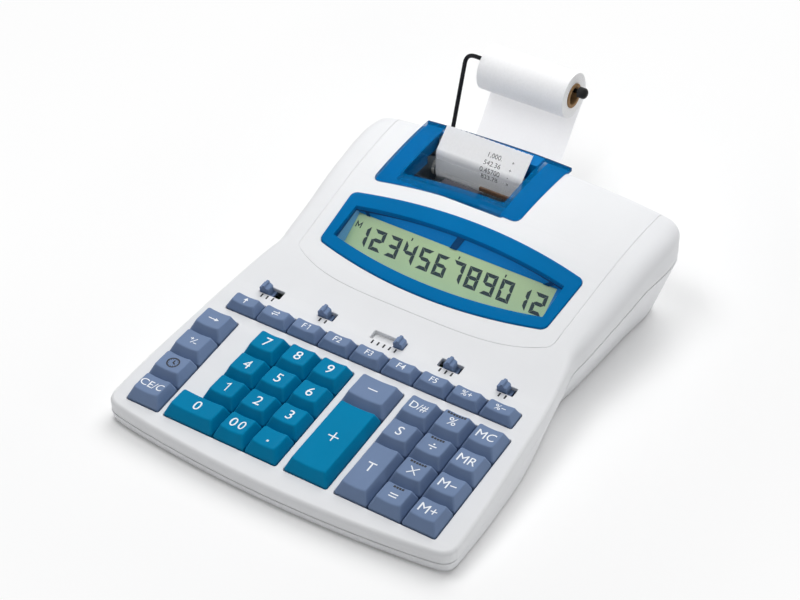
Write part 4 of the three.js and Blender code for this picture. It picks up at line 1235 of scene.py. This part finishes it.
def make_key_marks():
    for i in (0, 2, 3, 4, 5, 6, 7, 8, 9):
        key_mark(f"key_{i}", text_shape(str(i), 6.5, FIGURE_BOLD))
    key_mark("key_1", figure_one(6.0))
    letter = text_shape("F", 3.8, -LETTER_BOLD)
    key_mark("key_f1", join_shapes([(letter, -1.3, 0), (figure_one(3.8), 1.4, 0)]))
    key_mark("key_00", join_shapes([(text_shape("0", 6.1, FIGURE_BOLD), dx, 0) for dx in (-2.6, 2.6)]))
    sign("key_point", 1.2, bar(0.6), du=-2.0)
    for name, (word, size) in WORDS.items():
        key_mark(name, text_shape(word, size, LETTER_BOLD))
    sign("key_plus", 0.7, bar(3.1), [(0, -3.1), (0, -0.35)], [(0, 0.35), (0, 3.1)])
    sign("key_minus", 0.7, bar(2.9))
    sign("key_equals", 0.7, bar(2.3, 0.9), bar(2.3, -0.9), du=-0.8)
    sign("key_multiply", 0.6, [(-2.5, -2.5), (2.5, 2.5)], [(-2.5, 2.5), (-0.3, 0.3)],
         [(0.3, -0.3), (2.5, -2.5)], du=-0.8)
    for name, half in NOTES.items():
        lines = [[(-half + i * 1.6, 0), (-half + i * 1.6 + 1.25, 0)] for i in range(round(half * 2 / 1.6))]
        key_mark(name, stroke_shape(lines, 1.3), look="mark", du=4.6, tag="note")
    dots = stroke_shape([bar(0.45, 1.7), bar(0.45, -1.7)], 0.9)
    key_mark("key_divide", join_shapes([(stroke_shape([bar(2.3)], 0.7), 0, 0), (dots, 0, 0)]), du=-0.8)
    sign("key_sign", 0.5, [(-2.6, 1.2), (-0.6, 1.2)], [(-1.6, 0.2), (-1.6, 2.2)], [(-1.0, -1.9), (1.4, 1.9)],
         [(0.7, -1.5), (2.7, -1.5)])
    arrow("key_shift", [(-3.2, 0), (1.4, 0)], [(1.0, -1.2), (3.4, 0), (1.0, 1.2)])
    arrow("key_feed", [(0, -2.0), (0, 0.6)], [(1.4, 0.2), (0, 2.1), (-1.4, 0.2)])
    sign("key_convert", 0.5, bar(2, 0.7), [(0.9, 1.7), (2, 0.7)], bar(2, -0.7), [(-0.9, -1.7), (-2, -0.7)])
    hands = [circle_line(3.3, 40), [(0, 1.9), (0, 0), (1.4, -0.7)]]
    hours = [[(reach * math.cos(a), reach * math.sin(a)) for reach in (2.3, 2.7)]
             for a in (math.tau * i / 12 for i in range(12))]
    key_mark("key_clock", join_shapes([(stroke_shape(hands, 0.8), 0, 0), (stroke_shape(hours, 0.4), 0, 0)]),
             look="mark")


# Switches

def make_switch(name):
    """A knob with a stepped, rounded ridge across it, on a slider plate under the case."""
    cx = switch_centre(name)
    half, depth = KNOB_WIDTH / 2, 2.5
    plate_top = -WALL - CLEARANCE
    ridge = [(half, plate_top), (half, 2.6), (half - 0.35, 3.1), (1.5, 3.6), (1.05, 3.85), (0.9, 4.9),
             (0.6, 5.2)]
    profile = [(-half, plate_top), *ridge, *((-x, w) for x, w in ridge[:0:-1])]
    rings = [[on_deck(cx + x * squeeze, SLOT_CENTRE + y, w - (1 - squeeze) * 2) for x, w in profile]
             for y, squeeze in ((-depth, 0.94), (-depth + 0.3, 1), (depth - 0.3, 1), (depth, 0.94))]
    knob = ring_body(f"{name}_knob", rings, flat_cap(profile))
    reach, side = SLOT_DEPTH / 2 + SLIDER_MARGIN, half + SLIDER_MARGIN
    u0, u1 = SLOT_CENTRE - reach, SLOT_CENTRE + reach
    corners = rectangle(cx - side, cx + side, u0, u1)
    plate = slab("plate", corners, plate_top - 0.1 - SLIDER_THICKNESS, plate_top + 0.1, on_deck)
    carve(knob, [plate], "UNION")
    finish_piece(knob, "grey_key", name, body=name, sharp=28)
    travel = (SWITCHES[name][1] - 1) * SWITCH_STEP
    if travel > 3 * SWITCH_STEP:
        corners = rectangle(cx - side - travel, cx - side - 0.1, u0, u1)
        blind = slab(f"{name}_blind", corners, plate_top - SLIDER_THICKNESS / 2, plate_top, on_deck)
        bevel(blind, 0.15, 1)
        finish_piece(blind, "case", body=name)


def make_switch_marks():
    """Black ticks printed in front of each slot, one to each position."""
    for name, (_, positions, _) in SWITCHES.items():
        first = switch_middle(name) - (positions - 1) * SWITCH_STEP / 2
        ticks = [[(first + i * SWITCH_STEP, y) for y in (-1.3, 1.3)] for i in range(positions)]
        surface = lambda x, y, w: on_deck(x, SLOT_CENTRE - SLOT_DEPTH / 2 - 1.9 + y, w)
        film(f"{name}_ticks", stroke_shape(ticks, 0.95), surface, "mark")


# Display

def make_window():
    outer, hole, ease = lens_outline(), view_outline(), view_outline(0.3)
    top, bottom = LENS_PROUD, LENS_PROUD - LENS_THICKNESS
    lift = lambda points, w: lifted(head_point, points, w)
    rings = [lift(outer, bottom)]
    rings += [lift(inset(outer, into), top - below) for into, below in rounding(0.45, 4)]
    plate = ring_body("display_ring", rings)
    cut = [lift(hole, bottom - 1), lift(hole, top - 0.3), lift(view_outline(0.1), top - 0.1),
           lift(ease, top), lift(ease, top + 1)]
    carve(plate, [ring_body("cutter", cut)])
    finish_piece(plate, "tinted_ring", "display_window")
    deep = bottom + 0.4
    lining = slab("display_lining", inset(outer, 0.25), bottom - 0.1, deep, head_point)
    carve(lining, [slab("cutter", view_outline(0.35), bottom - 1, deep + 1, head_point)])
    finish_piece(lining, "backing")
    finish_piece(slab("display_pane", view_outline(-0.12), bottom + 0.7, top - 0.35, head_point), "clear")
    # A dark rim under the ring, which shows inside its opening at the bottom and the sides: painted shadow
    # that the ring's edge casts on the panel.
    narrow = inset(hole, lambda y: 1.1 if y < VIEW_TOP_Y - 1 else 0.1)
    low, high = bottom - 0.9, bottom - 0.06
    rails = [lift(ease, low), lift(ease, high), lift(narrow, high), lift(narrow, low)]
    finish_piece(loop_body("display_gasket", rails), "gasket")


def on_lcd(x, s, w):
    """A point x across, s down the panel from its back edge and w off its face."""
    y0, z0 = LCD_BACK_Y, top_height(LCD_BACK_Y) - LCD_DROP / math.cos(HEAD_TILT)
    y = y0 - s * math.cos(LCD_TILT) - w * math.sin(LCD_TILT)
    z = z0 - s * math.sin(LCD_TILT) + w * math.cos(LCD_TILT)
    return (x, y, z)


DIGITS = "123456789012"
SEGMENTS = {
    "0": "abcdef", "1": "bc", "2": "abged", "3": "abgcd", "4": "fgbc", "5": "afgcd", "6": "afgedc",
    "7": "abc", "8": "abcdefg", "9": "abcdfg",
}


def segment_quad(kind, width, height, bar):
    """A bar of a digit cell, mitred at its ends, with its corner at the lower left."""
    gap = 0.11
    mid = height / 2
    near, far = gap * 1.5, width - gap * 1.5
    if kind in "ad":
        y, up = (height, -bar) if kind == "a" else (0, bar)
        return [(near, y), (far, y), (far - bar, y + up), (near + bar, y + up)]
    if kind == "g":
        h = bar / 2
        return [(near + h * 0.6, mid), (near + bar, mid + h), (far - bar, mid + h),
                (far - h * 0.6, mid), (far - bar, mid - h), (near + bar, mid - h)]
    x, inward = (0, bar) if kind in "fe" else (width, -bar)
    start, tip, sign = (mid, height, 1) if kind in "fb" else (mid, 0, -1)
    return [(x, start + sign * gap), (x, tip - sign * gap), (x + inward * 0.12, tip - sign * gap),
            (x + inward, tip - sign * (gap + bar)), (x + inward, start + sign * (gap + bar * 0.55)),
            (x + inward * 0.5, start + sign * gap)]


def make_lcd():
    thickness, edge = 1.8, 0.25
    face = rounded(rectangle(LCD_CENTRE - LCD_HALF, LCD_CENTRE + LCD_HALF, 0, LCD_LENGTH), 0.6, 3)
    levels = ((face, -thickness), (face, -edge), (inset(face, edge), 0))
    rings = [lifted(on_lcd, line, w) for line, w in levels]
    finish_piece(ring_body("lcd_glass", rings, flat_cap(face)), "lcd", "lcd_panel")
    lines = bmesh.new()
    width, height, bar_width, lean = 7.8, 12.4, 2.1, 0.1
    first_left, pitch, foot = -61.4, 10.3, 18
    for i, digit in enumerate(DIGITS):
        left = first_left + pitch * i
        for kind in SEGMENTS[digit]:
            quad = segment_quad(kind, width, height, bar_width)
            corners = [(left + x - lean * (y - height / 2), y - foot, 0) for x, y in quad]
            lines.faces.new([lines.verts.new(corner) for corner in corners])
    for x, y in ((-28.6, -3.9), (1.9, -3.9), (31.4, -3.9)):
        comma = [(-0.35, -0.9), (0.35, -0.9), (0.5, 0.9), (-0.5, 0.9)]
        lines.faces.new([lines.verts.new((x + dx, dy + y, 0)) for dx, dy in comma])
    letter = stroke_shape([[(-1.5, -1.7), (-1.5, 1.7), (0, -0.6), (1.5, 1.7), (1.5, -1.7)]], 0.7)
    film("lcd_digits", join_shapes([(lines, 0, 0), (letter, -62.3, -7.0)]), lambda x, y, w: on_lcd(x, -y, w),
         "segment", slice_width=40)


def make_hood():
    """Walls all round, from the window's opening down to the panel's edge."""
    under = LENS_PROUD - LENS_THICKNESS - 0.05
    left, right = LCD_CENTRE - LCD_HALF + 2.3, LCD_CENTRE + LCD_HALF - 0.8

    def upper(across, back):
        bow = 1 - across * across
        y = lerp(VIEW_BOTTOM_Y - VIEW_BULGE * bow - 0.3, VIEW_TOP_Y + VIEW_CROWN * bow + 0.3, (back + 1) / 2)
        return head_point(across * (VIEW_HALF + 0.2), y, under)

    def lower(across, back):
        return on_lcd(lerp(left, right, (across + 1) / 2), lerp(LCD_LENGTH - 0.4, 0.3, (back + 1) / 2), 0.12)

    def out(at, reach):
        return lambda across, back: tuple(Vector(at(across, back)) + Vector((across, back, -0.1)) * reach)

    def wall(name, path, look, face, back):
        rows = [[out(at, reach)(*spot) for spot in path] for reach in (face, back) for at in (upper, lower)]
        wall_between(name, *rows, look)

    turn = [lerp(1, -1, s) for s in shares(28)]
    wall("hood_back", [(t, 1) for t in turn], "hood", 0, 0.6)
    # The left wall takes the paler copy of the blue, painted as lit.
    wall("hood_left", [(-1, t) for t in turn[::4]], "hood_side", 0, 0.6)
    wall("hood_front", [(-t, -1) for t in turn], "hood", 0, 0.6)
    wall("hood_right", [(1, -t) for t in turn[::4]], "hood", 0, 0.6)
    for i, (middle, half) in enumerate(((-0.03, 0.035), (0.9, 0.03), (-0.91, 0.02))):
        wall(f"hood_rib_{i + 1}", [(middle + half * t, 1) for t in (1, 0, -1)], "gasket", -0.5, 0)


def wall_between(name, a, b, c, d, look):
    """A thin curved wall between an upper line a and a lower line b, with c and d behind them."""
    count = len(a)
    rows = [0, count, 2 * count, 3 * count]
    faces = [(p + i, p + i + 1, q + i + 1, q + i) for p, q in zip(rows, rows[1:] + rows[:1])
             for i in range(count - 1)]
    faces += [tuple(rows), tuple(r + count - 1 for r in reversed(rows))]
    finish_piece(new_object(name, a + b + d + c, faces), look)


# Cover

def make_cover():
    depth = COVER_THICKNESS - COVER_PROUD
    skin = lambda: top_layer(-COVER_PROUD + 0.05, OVERRUN)
    plate = layer_over("cover_plate", cover_outline(COVER_BACK_INSET, True), -COVER_PROUD, depth)
    # The skirt hangs inside the cut; behind the tear bar it is cut short.
    skirt_low, tear_room = 47.2, TEAR_Y - 2.4
    outside, inside = slot_edge(0), slot_edge(0.01 - SKIRT)
    ends_at = lambda line, y: [(line[0][0], y), *line, (line[-1][0], y)]
    skirt = slab("skirt", ends_at(outside, PLATEN[0]), skirt_low, CEILING)
    back_room = box_between("cutter", (SLOT_LEFT - 5, SLOT_RIGHT + 5), (tear_room, DEPTH),
                            (0, TEAR_TOP + CLEARANCE))
    carve(skirt, [slab("cutter", ends_at(inside, DEPTH), 0, CEILING + 1), back_room])
    carve(skirt, [skin()], "INTERSECT")
    carve(plate, [skirt], "UNION")
    bevel(plate, 0.35, 2, 50)
    apply_modifiers(plate)
    finish_piece(plate, "tinted", "printer_cover", body="cover")
    # A lining under the cover where it lies on the case, so that it reads full in colour there.
    under = cover_outline(COVER_BACK_INSET + 0.2, grow=-0.4)
    lining = layer_over("cover_lining", under, depth - 0.42, depth + 0.05)
    bay = rounded(rectangle(SLOT_LEFT - 0.6, SLOT_RIGHT + 0.6, SLOT_FRONT - LEDGE + 0.6, DEPTH + 5), 2)
    carve(lining, [slab("cutter", bay, 0, CEILING)])
    finish_piece(lining, "backing", body="cover")
    # A fixed bar behind the paper, between the arms of the cover, with a lip down into the bay.
    left, right, front = SLOT_LEFT + SKIRT + 0.3, SLOT_RIGHT - SKIRT - 0.3, TEAR_Y + 12.8
    at_back = lambda x, more=0: (x, back_edge(x) - COVER_BACK_INSET + more)
    edge = [at_back(lerp(right, left, s)) for s in shares(12)]
    bar_piece = layer_over("cover_bar", [(left, front), (right, front)] + edge, -COVER_PROUD, depth)
    lip = box_between("lip", (left, right), (front, front + 1.3), (49, CEILING))
    carve(lip, [skin()], "INTERSECT")
    carve(bar_piece, [lip], "UNION")
    bevel(bar_piece, 0.3, 2, 50)
    finish_piece(bar_piece, "backing")
    spans = ((COVER_LEFT + 0.3, SLOT_LEFT + SKIRT, "cover"), (left, right, "calculator"),
             (SLOT_RIGHT - SKIRT, COVER_RIGHT + 1.4, "cover"))
    for i, (x0, x1, body) in enumerate(spans):
        across = [lerp(x0, x1, s) for s in shares(8)]
        strip = [at_back(x, -1.1) for x in across] + [at_back(x, 0.03) for x in reversed(across)]
        rim = layer_over(f"cover_rim_{i + 1}", strip, -COVER_PROUD - 0.04, depth)
        finish_piece(rim, "gasket", body=body)


# Printer

def make_gear(name, x0, x1, y, z, radius, teeth, body):
    outline = []
    for i in range(teeth):
        for share, reach in ((0, 0.86), (0.18, 0.9), (0.34, 1), (0.62, 1), (0.78, 0.9)):
            angle = math.tau * (i + share) / teeth
            outline.append((y + radius * reach * math.cos(angle), z + radius * reach * math.sin(angle)))
    gear = cross_body(name, outline, x0, x1)
    bevel(gear, 0.12, 1, 60)
    finish_piece(gear, "gear", body=body)


def make_printer():
    left, right = SLOT_LEFT - LEDGE + CLEARANCE * 2, SLOT_RIGHT + LEDGE - CLEARANCE * 2
    face0, face1 = left + 2 + CLEARANCE, right - 2 - CLEARANCE
    share = lambda x: (x - left) / (right - left)

    def roller(name, look, body, node, centre, shaft, x0, x1, radius, ease, slope, parts, sides):
        """A roller on a shaft from side to side of the bay; slope is the length of its eased ends."""
        full = [(share(x0 + slope), radius)]
        full += [(share(lerp(x0 + slope, x1 - slope, i / parts)), radius) for i in range(1, parts)]
        full += [(share(x1 - slope), radius)]
        stations = [(0, shaft * 0.8), (0.003, shaft), (share(x0), shaft), (share(x0), radius - ease), *full,
                    (share(x1), radius - ease), (share(x1), shaft), (0.997, shaft), (1, shaft * 0.8)]
        finish_piece(rod(name, (left, *centre), (right, *centre), stations, sides), look, node, body=body)

    roll0, roll1 = face0 + 2, face1 - 2
    roller("platen_fine", "rubber", "platen", "platen_roller", PLATEN, 1.6, roll0, roll1, PLATEN_RADIUS,
           0.3, 0.3, 10, 48)
    make_gear("platen_gear_left", face0 + 0.1, roll0 - 0.3, *PLATEN, 5.3, 20, "platen")
    make_gear("platen_gear_right", roll1 + 0.3, face1 - 0.1, *PLATEN, 5.3, 20, "platen")
    felt = box_between("ink_felt", FELT_X, (TEAR_Y - 2.6, TEAR_Y - 1.1), FELT_Z)
    bevel(felt, 0.3)
    finish_piece(felt, "felt")
    roller("ink_fine", "ink", "ink", "ink_roller", INK, 1.2, PAPER_CENTRE - 12, PAPER_CENTRE + 12, INK_RADIUS,
           0.8, 0.6, 1, 40)
    teeth, foot, notch = 44, 43.5, 0.9
    profile = [(face0, foot), (face1, foot)]
    for i in range(teeth, 0, -1):
        profile.append((lerp(face0, face1, i / teeth), TEAR_TOP - notch))
        profile.append((lerp(face0, face1, (i - 0.5) / teeth), TEAR_TOP))
    profile.append((face0, TEAR_TOP - notch))
    rings = [[(x, y, z) for x, z in profile] for y in (TEAR_Y, TEAR_Y - 1)]
    finish_piece(ring_body("tear_fine", rings, flat_cap(profile)), "tear_clear", "tear_bar")


# Paper

def paper_line():
    """The sheet's way as (y, z): down from the roll, in under the case, round the platen and out."""
    back, hang = ROLL[0] + ROLL_RADIUS + CLEARANCE, ROLL[1] - ROLL_RADIUS / 2
    belly, foot = (293, 42.5), (281, 33.4)
    path = [(back, ROLL[1] + 2), (back - 0.5, hang),
            ((back + belly[0]) / 2, (hang + belly[1]) / 2 + 1), belly, foot]
    wrap = PLATEN_RADIUS + (CLEARANCE + 0.25)
    low, turn_steps, tail_steps = PLATEN[1] - wrap, 6, 6
    path += [((foot[0] + DEPTH) / 2, low + 0.25), (DEPTH, low), (PLATEN[0], low)]
    for i in range(1, turn_steps + 1):
        angle = math.pi / 2 * i / turn_steps
        path.append((PLATEN[0] - wrap * math.sin(angle), PLATEN[1] - wrap * math.cos(angle)))
    top_y = PLATEN[0] - wrap
    path += [(top_y, CREASE_Z - 4), (top_y + 0.1, CREASE_Z - 1.2), (top_y + 1.0, CREASE_Z + 0.9)]
    for i in range(1, tail_steps + 1):
        reach = TAIL_LENGTH * i / tail_steps
        curl = 0.012 * reach * reach
        path.append((top_y + reach * math.sin(TAIL_LEAN) - curl * 0.3,
                     CREASE_Z + reach * math.cos(TAIL_LEAN) - curl * 0.35))
    return path


def sheet_along(name, path, x0, x1):
    """A thin closed sheet of paper along a path, with a torn far end, and the line that it follows."""
    columns, pulled = 81, 3
    line = smooth_line(path, 4)
    count = len(line)
    normals = []
    for i in range(count):
        a, b = line[max(i - 1, 0)], line[min(i + 1, count - 1)]
        normals.append(Vector((b[1] - a[1], a[0] - b[0])).normalized() * PAPER_THICKNESS / 2)
    held = count - pulled - 1
    direction = (Vector(line[-1]) - Vector(line[held])).normalized()
    points = []
    for face in (1, -1):
        for i, (y, z) in enumerate(line):
            for k in range(columns + 1):
                x = lerp(x0, x1, k / columns)
                pull = torn(x) * max(i - held, 0) / pulled
                points.append((x, y - direction.x * pull + normals[i].x * face,
                               z - direction.y * pull + normals[i].y * face))
    at = lambda face, i, k: (face * count + i) * (columns + 1) + k
    faces = []
    for i in range(count - 1):
        for k in range(columns):
            faces.append((at(0, i, k), at(0, i, k + 1), at(0, i + 1, k + 1), at(0, i + 1, k)))
            faces.append((at(1, i, k), at(1, i + 1, k), at(1, i + 1, k + 1), at(1, i, k + 1)))
        for k in (0, columns):
            faces.append((at(0, i, k), at(0, i + 1, k), at(1, i + 1, k), at(1, i, k)))
    for k in range(columns):
        for i in (0, count - 1):
            faces.append((at(0, i, k), at(0, i, k + 1), at(1, i, k + 1), at(1, i, k)))
    return new_object(name, points, faces), line


def torn(x):
    """How far the torn edge is pulled in at a place across the paper."""
    wave = math.sin(x * 1.9) * 0.25 + math.sin(x * 5.3 + 1) * 0.15
    tooth = abs((x / 1.4) % 1 - 0.5) * 0.7
    return 0.3 + wave * 0.5 + tooth


def make_paper():
    x0 = PAPER_CENTRE - PAPER_WIDTH / 2
    strip, line = sheet_along("paper_web", paper_line(), x0, x0 + PAPER_WIDTH)
    finish_piece(strip, "sheet_paper", "paper_strip", sharp=50)
    # Printed sums run down the torn end, the newest lowest.
    line = [Vector(p) for p in reversed(line)]
    reach = [0]
    for a, b in zip(line, line[1:]):
        reach.append(reach[-1] + (b - a).length)

    def on_paper(x, y, w):
        s = max(-y, 0.01)
        i = next(k for k in range(1, len(reach)) if reach[k] >= s)
        t = (s - reach[i - 1]) / (reach[i] - reach[i - 1])
        point = line[i - 1].lerp(line[i], t)
        along = (line[i - 1] - line[i]).normalized()
        out = w + PAPER_THICKNESS / 2
        return (x, point.x - along.y * out, point.y + along.x * out)

    rows = [("1,000.", "+", 8.4), ("542.36", "+", 13.0), ("0.45700", "-", 17.4), ("823.78", "x", 21.7)]
    number_x, sign_x = -19.2, -7.4
    for i, (number, mark, down) in enumerate(rows):
        text = join_shapes([(text_shape(number, 3.0, PRINT_BOLD), number_x, -down),
                            (text_shape(mark, 2.4, PRINT_BOLD), sign_x, -down)])
        film(f"paper_print_{i + 1}", text, on_paper, "mark", film_height=0.03)


def make_roll():
    x0 = PAPER_CENTRE - PAPER_WIDTH / 2
    x1 = x0 + PAPER_WIDTH
    inner, winds = CORE_RADIUS + 0.05, 9
    ends = [(0.14 * (1 - i % 2), lerp(inner + 0.5, ROLL_RADIUS - 0.35, i / winds)) for i in range(winds + 1)]
    end = [(0.25, inner), (0.2, inner + 0.4), *ends, (0.12, ROLL_RADIUS)]
    stations = [(x0 + into, radius) for into, radius in end]
    stations += [(lerp(x0, x1, 0.33), ROLL_RADIUS), (lerp(x0, x1, 0.66), ROLL_RADIUS)]
    stations += [(x1 - into, radius) for into, radius in reversed(end)]
    roll = turned_ring("roll_paper", stations, ROLL, 96)
    finish_piece(roll, "paper", "paper_roll", body="roll", sharp=40)
    roll.data.materials.append(looks["wound_paper"])
    for face in roll.data.polygons:
        if abs(face.normal.x) > 0.5:
            face.material_index = 1
    bore, overhang = CORE_RADIUS - CORE_WALL, 0.6
    c0, c1 = x0 - overhang, x1 + overhang
    end = [(0.2, bore), (0, bore + 0.25), (0, CORE_RADIUS - 0.25), (0.25, CORE_RADIUS)]
    stations = [(c0 + into, radius) for into, radius in end]
    stations += [(c1 - into, radius) for into, radius in reversed(end)]
    core = turned_ring("roll_core", stations, ROLL, 64)
    finish_piece(core, "card", "paper_core", body="roll", sharp=50)


def turned_ring(name, stations, centre, sides):
    """A ring turned about X through (x, radius) stations, closed on itself."""
    cy, cz = centre
    turns = [math.tau * i / sides for i in range(sides)]
    return loop_body(name, [[(x, cy + radius * math.cos(a), cz + radius * math.sin(a)) for a in turns]
                            for x, radius in stations])


# Roll arm

def make_arm():
    axle_z = ROLL[1] + CORE_RADIUS - CORE_WALL - WIRE_RADIUS - CLEARANCE
    right = PAPER_CENTRE + PAPER_WIDTH / 2 + 4
    corner0 = Vector((ARM_X, ARM_FOOT_Y, ARM_Z))
    corner1 = Vector((ARM_X, ROLL[0], axle_z))
    lean = (corner1 - corner0).normalized()
    turn = 6
    line = [(ARM_X, ARM_ROOT_Y, ARM_Z)]
    for corner, into, out in ((corner0, Vector((0, 1, 0)), lean), (corner1, lean, Vector((1, 0, 0)))):
        line += bend(corner - into * turn, corner, corner + out * turn, shares(10))
    line += [(right - 0.4, ROLL[0], axle_z), (right, ROLL[0], axle_z)]
    line = [Vector(p) for p in line]
    rings = []
    side = Vector((1, 0, 0))
    for i, point in enumerate(line):
        before, after = line[max(i - 1, 0)], line[min(i + 1, len(line) - 1)]
        tangent = (after - before).normalized()
        side = (side - tangent * side.dot(tangent)).normalized()
        radius = WIRE_RADIUS * (0.75 if i in (0, len(line) - 1) else 1)
        rings.append(disc(point, side, tangent.cross(side), radius, 24))
    wire = ring_body("arm_wire", rings, [tuple(range(24))])
    finish_piece(wire, "wire", "roll_arm", sharp=50)
    start, length, straight = right - 1, 5.5, 0.62
    stations = [(0, CAP_RADIUS - 0.4), (0.06, CAP_RADIUS), (straight, CAP_RADIUS)]
    stations += [(straight + 0.38 * math.sin(math.pi / 2 * i / 6),
                  CAP_RADIUS * math.cos(math.pi / 2 * i / 6.4)) for i in range(1, 7)]
    cap = rod("arm_cap", (start, ROLL[0], axle_z), (start + length, ROLL[0], axle_z), stations, 40)
    carve(cap, [rod("cutter", (start - 2, ROLL[0], axle_z), (right + CLEARANCE, ROLL[0], axle_z),
                    [(share, WIRE_RADIUS + 0.15) for share in (0, 1)], 24)])
    finish_piece(cap, "black", "roll_cap", sharp=50)


# Camera, lights and floor

def make_stage():
    floor = bpy.data.meshes.new("floor")
    floor.from_pydata([(x, y, 0) for x, y in rectangle(-4, 4, -4, 4)], [], [(0, 1, 2, 3)])
    obj = linked("floor", floor)
    look = Look("floor", (0.96, 0.96, 0.96), 0.8, Specular_IOR_Level=0)
    look.paint(look.ramp(look.noise(3, 2), [(0.3, (0.95, 0.95, 0.95)), (0.7, (0.97, 0.97, 0.97))]))
    glow = look.add("Emission", Color=(1, 1, 1, 1), Strength=1)
    # The camera sees more glow the farther the floor is from the case, so only the shadow at it stays.
    size = look.add("VectorMath", look.place, operation="ABSOLUTE")
    beyond = look.add("VectorMath", size.outputs[0], (HALF_WIDTH * MM, -FRONT_Y, 0), operation="SUBTRACT")
    parts = look.add("SeparateXYZ", beyond.outputs[0])
    farther = look.calc("MAXIMUM", parts.outputs[0], parts.outputs[1])
    share = look.calc("MULTIPLY", look.ranged(farther, 0, 0.16, 0.12, 0.8), look.seen_rays())
    look.mixed_surface(share, look.shader, glow, "Material Output")
    floor.materials.append(look.material)


def make_world():
    """Dim light from all round, in front of a white that the camera sees."""
    world = scene.world = bpy.data.worlds.new("studio")
    world.use_nodes = True
    nodes = Nodes(world.node_tree)
    lit = world.node_tree.nodes["Background"]
    lit.inputs["Color"].default_value = (0.98, 0.99, 1, 1)
    lit.inputs["Strength"].default_value = 0.27
    white = nodes.add("Background", Color=(1, 1, 1, 1))
    nodes.mixed_surface(nodes.seen_rays(), lit, white, "World Output")


def make_lamp(name, location, target, size, power, spread=180):
    lamp = bpy.data.lights.new(name, "AREA")
    lamp.shape = "RECTANGLE"
    lamp.spread = math.radians(spread)
    lamp.size, lamp.size_y = size
    lamp.energy = power
    obj = linked(name, lamp)
    obj.visible_glossy = False
    obj.location = location
    obj.rotation_euler = (Vector(target) - Vector(location)).to_track_quat("-Z", "Y").to_euler()


def make_camera():
    data = bpy.data.cameras.new("camera")
    data.lens = 99
    data.sensor_width = 36
    data.sensor_fit = "HORIZONTAL"
    data.clip_start = 0.01
    data.clip_end = 50
    camera = scene.camera = linked("camera", data)
    camera.location = (0.4990, -0.7928, 0.7629)
    camera.rotation_mode = "QUATERNION"
    camera.rotation_quaternion = Vector((-0.4315, 0.6569, -0.6184)).to_track_quat("-Z", "Y")


scene.view_settings.view_transform = "Standard"
make_camera()
make_world()
make_stage()
make_lamp("key_light", (-0.1, 1.2, 1.8), (0, 0, 0.03), (1.6, 1.6), 28)
make_lamp("top_light", (-0.14, -0.14, 0.7), (-0.07, -0.05, 0.03), (0.4, 0.25), 1.75)
make_lamp("side_light", (2.0, 0.2, 0.5), (0, 0, 0.03), (0.8, 0.6), 4.9)
make_lamp("roll_light", (0.02, -0.33, 0.58), (-0.03, 0.1, 0.06), (0.2, 0.14), 0.0135, spread=17)

make_case_top()
make_case_base()
for name in KEYS:
    make_key(name)
make_key_marks()
for name in SWITCHES:
    make_switch(name)
make_switch_marks()
make_window()
make_lcd()
make_hood()
make_cover()
make_printer()
make_paper()
make_roll()
make_arm()

# The solids that stay get their finishes
for node, look in (("print_mechanism", "mechanism"), ("main_board", "board"), ("key_mat", "mat"),
                   ("power_inlet", "black")):
    solid = bpy.data.objects[node]
    for material_slot in solid.material_slots:
        material_slot.material = looks[look]
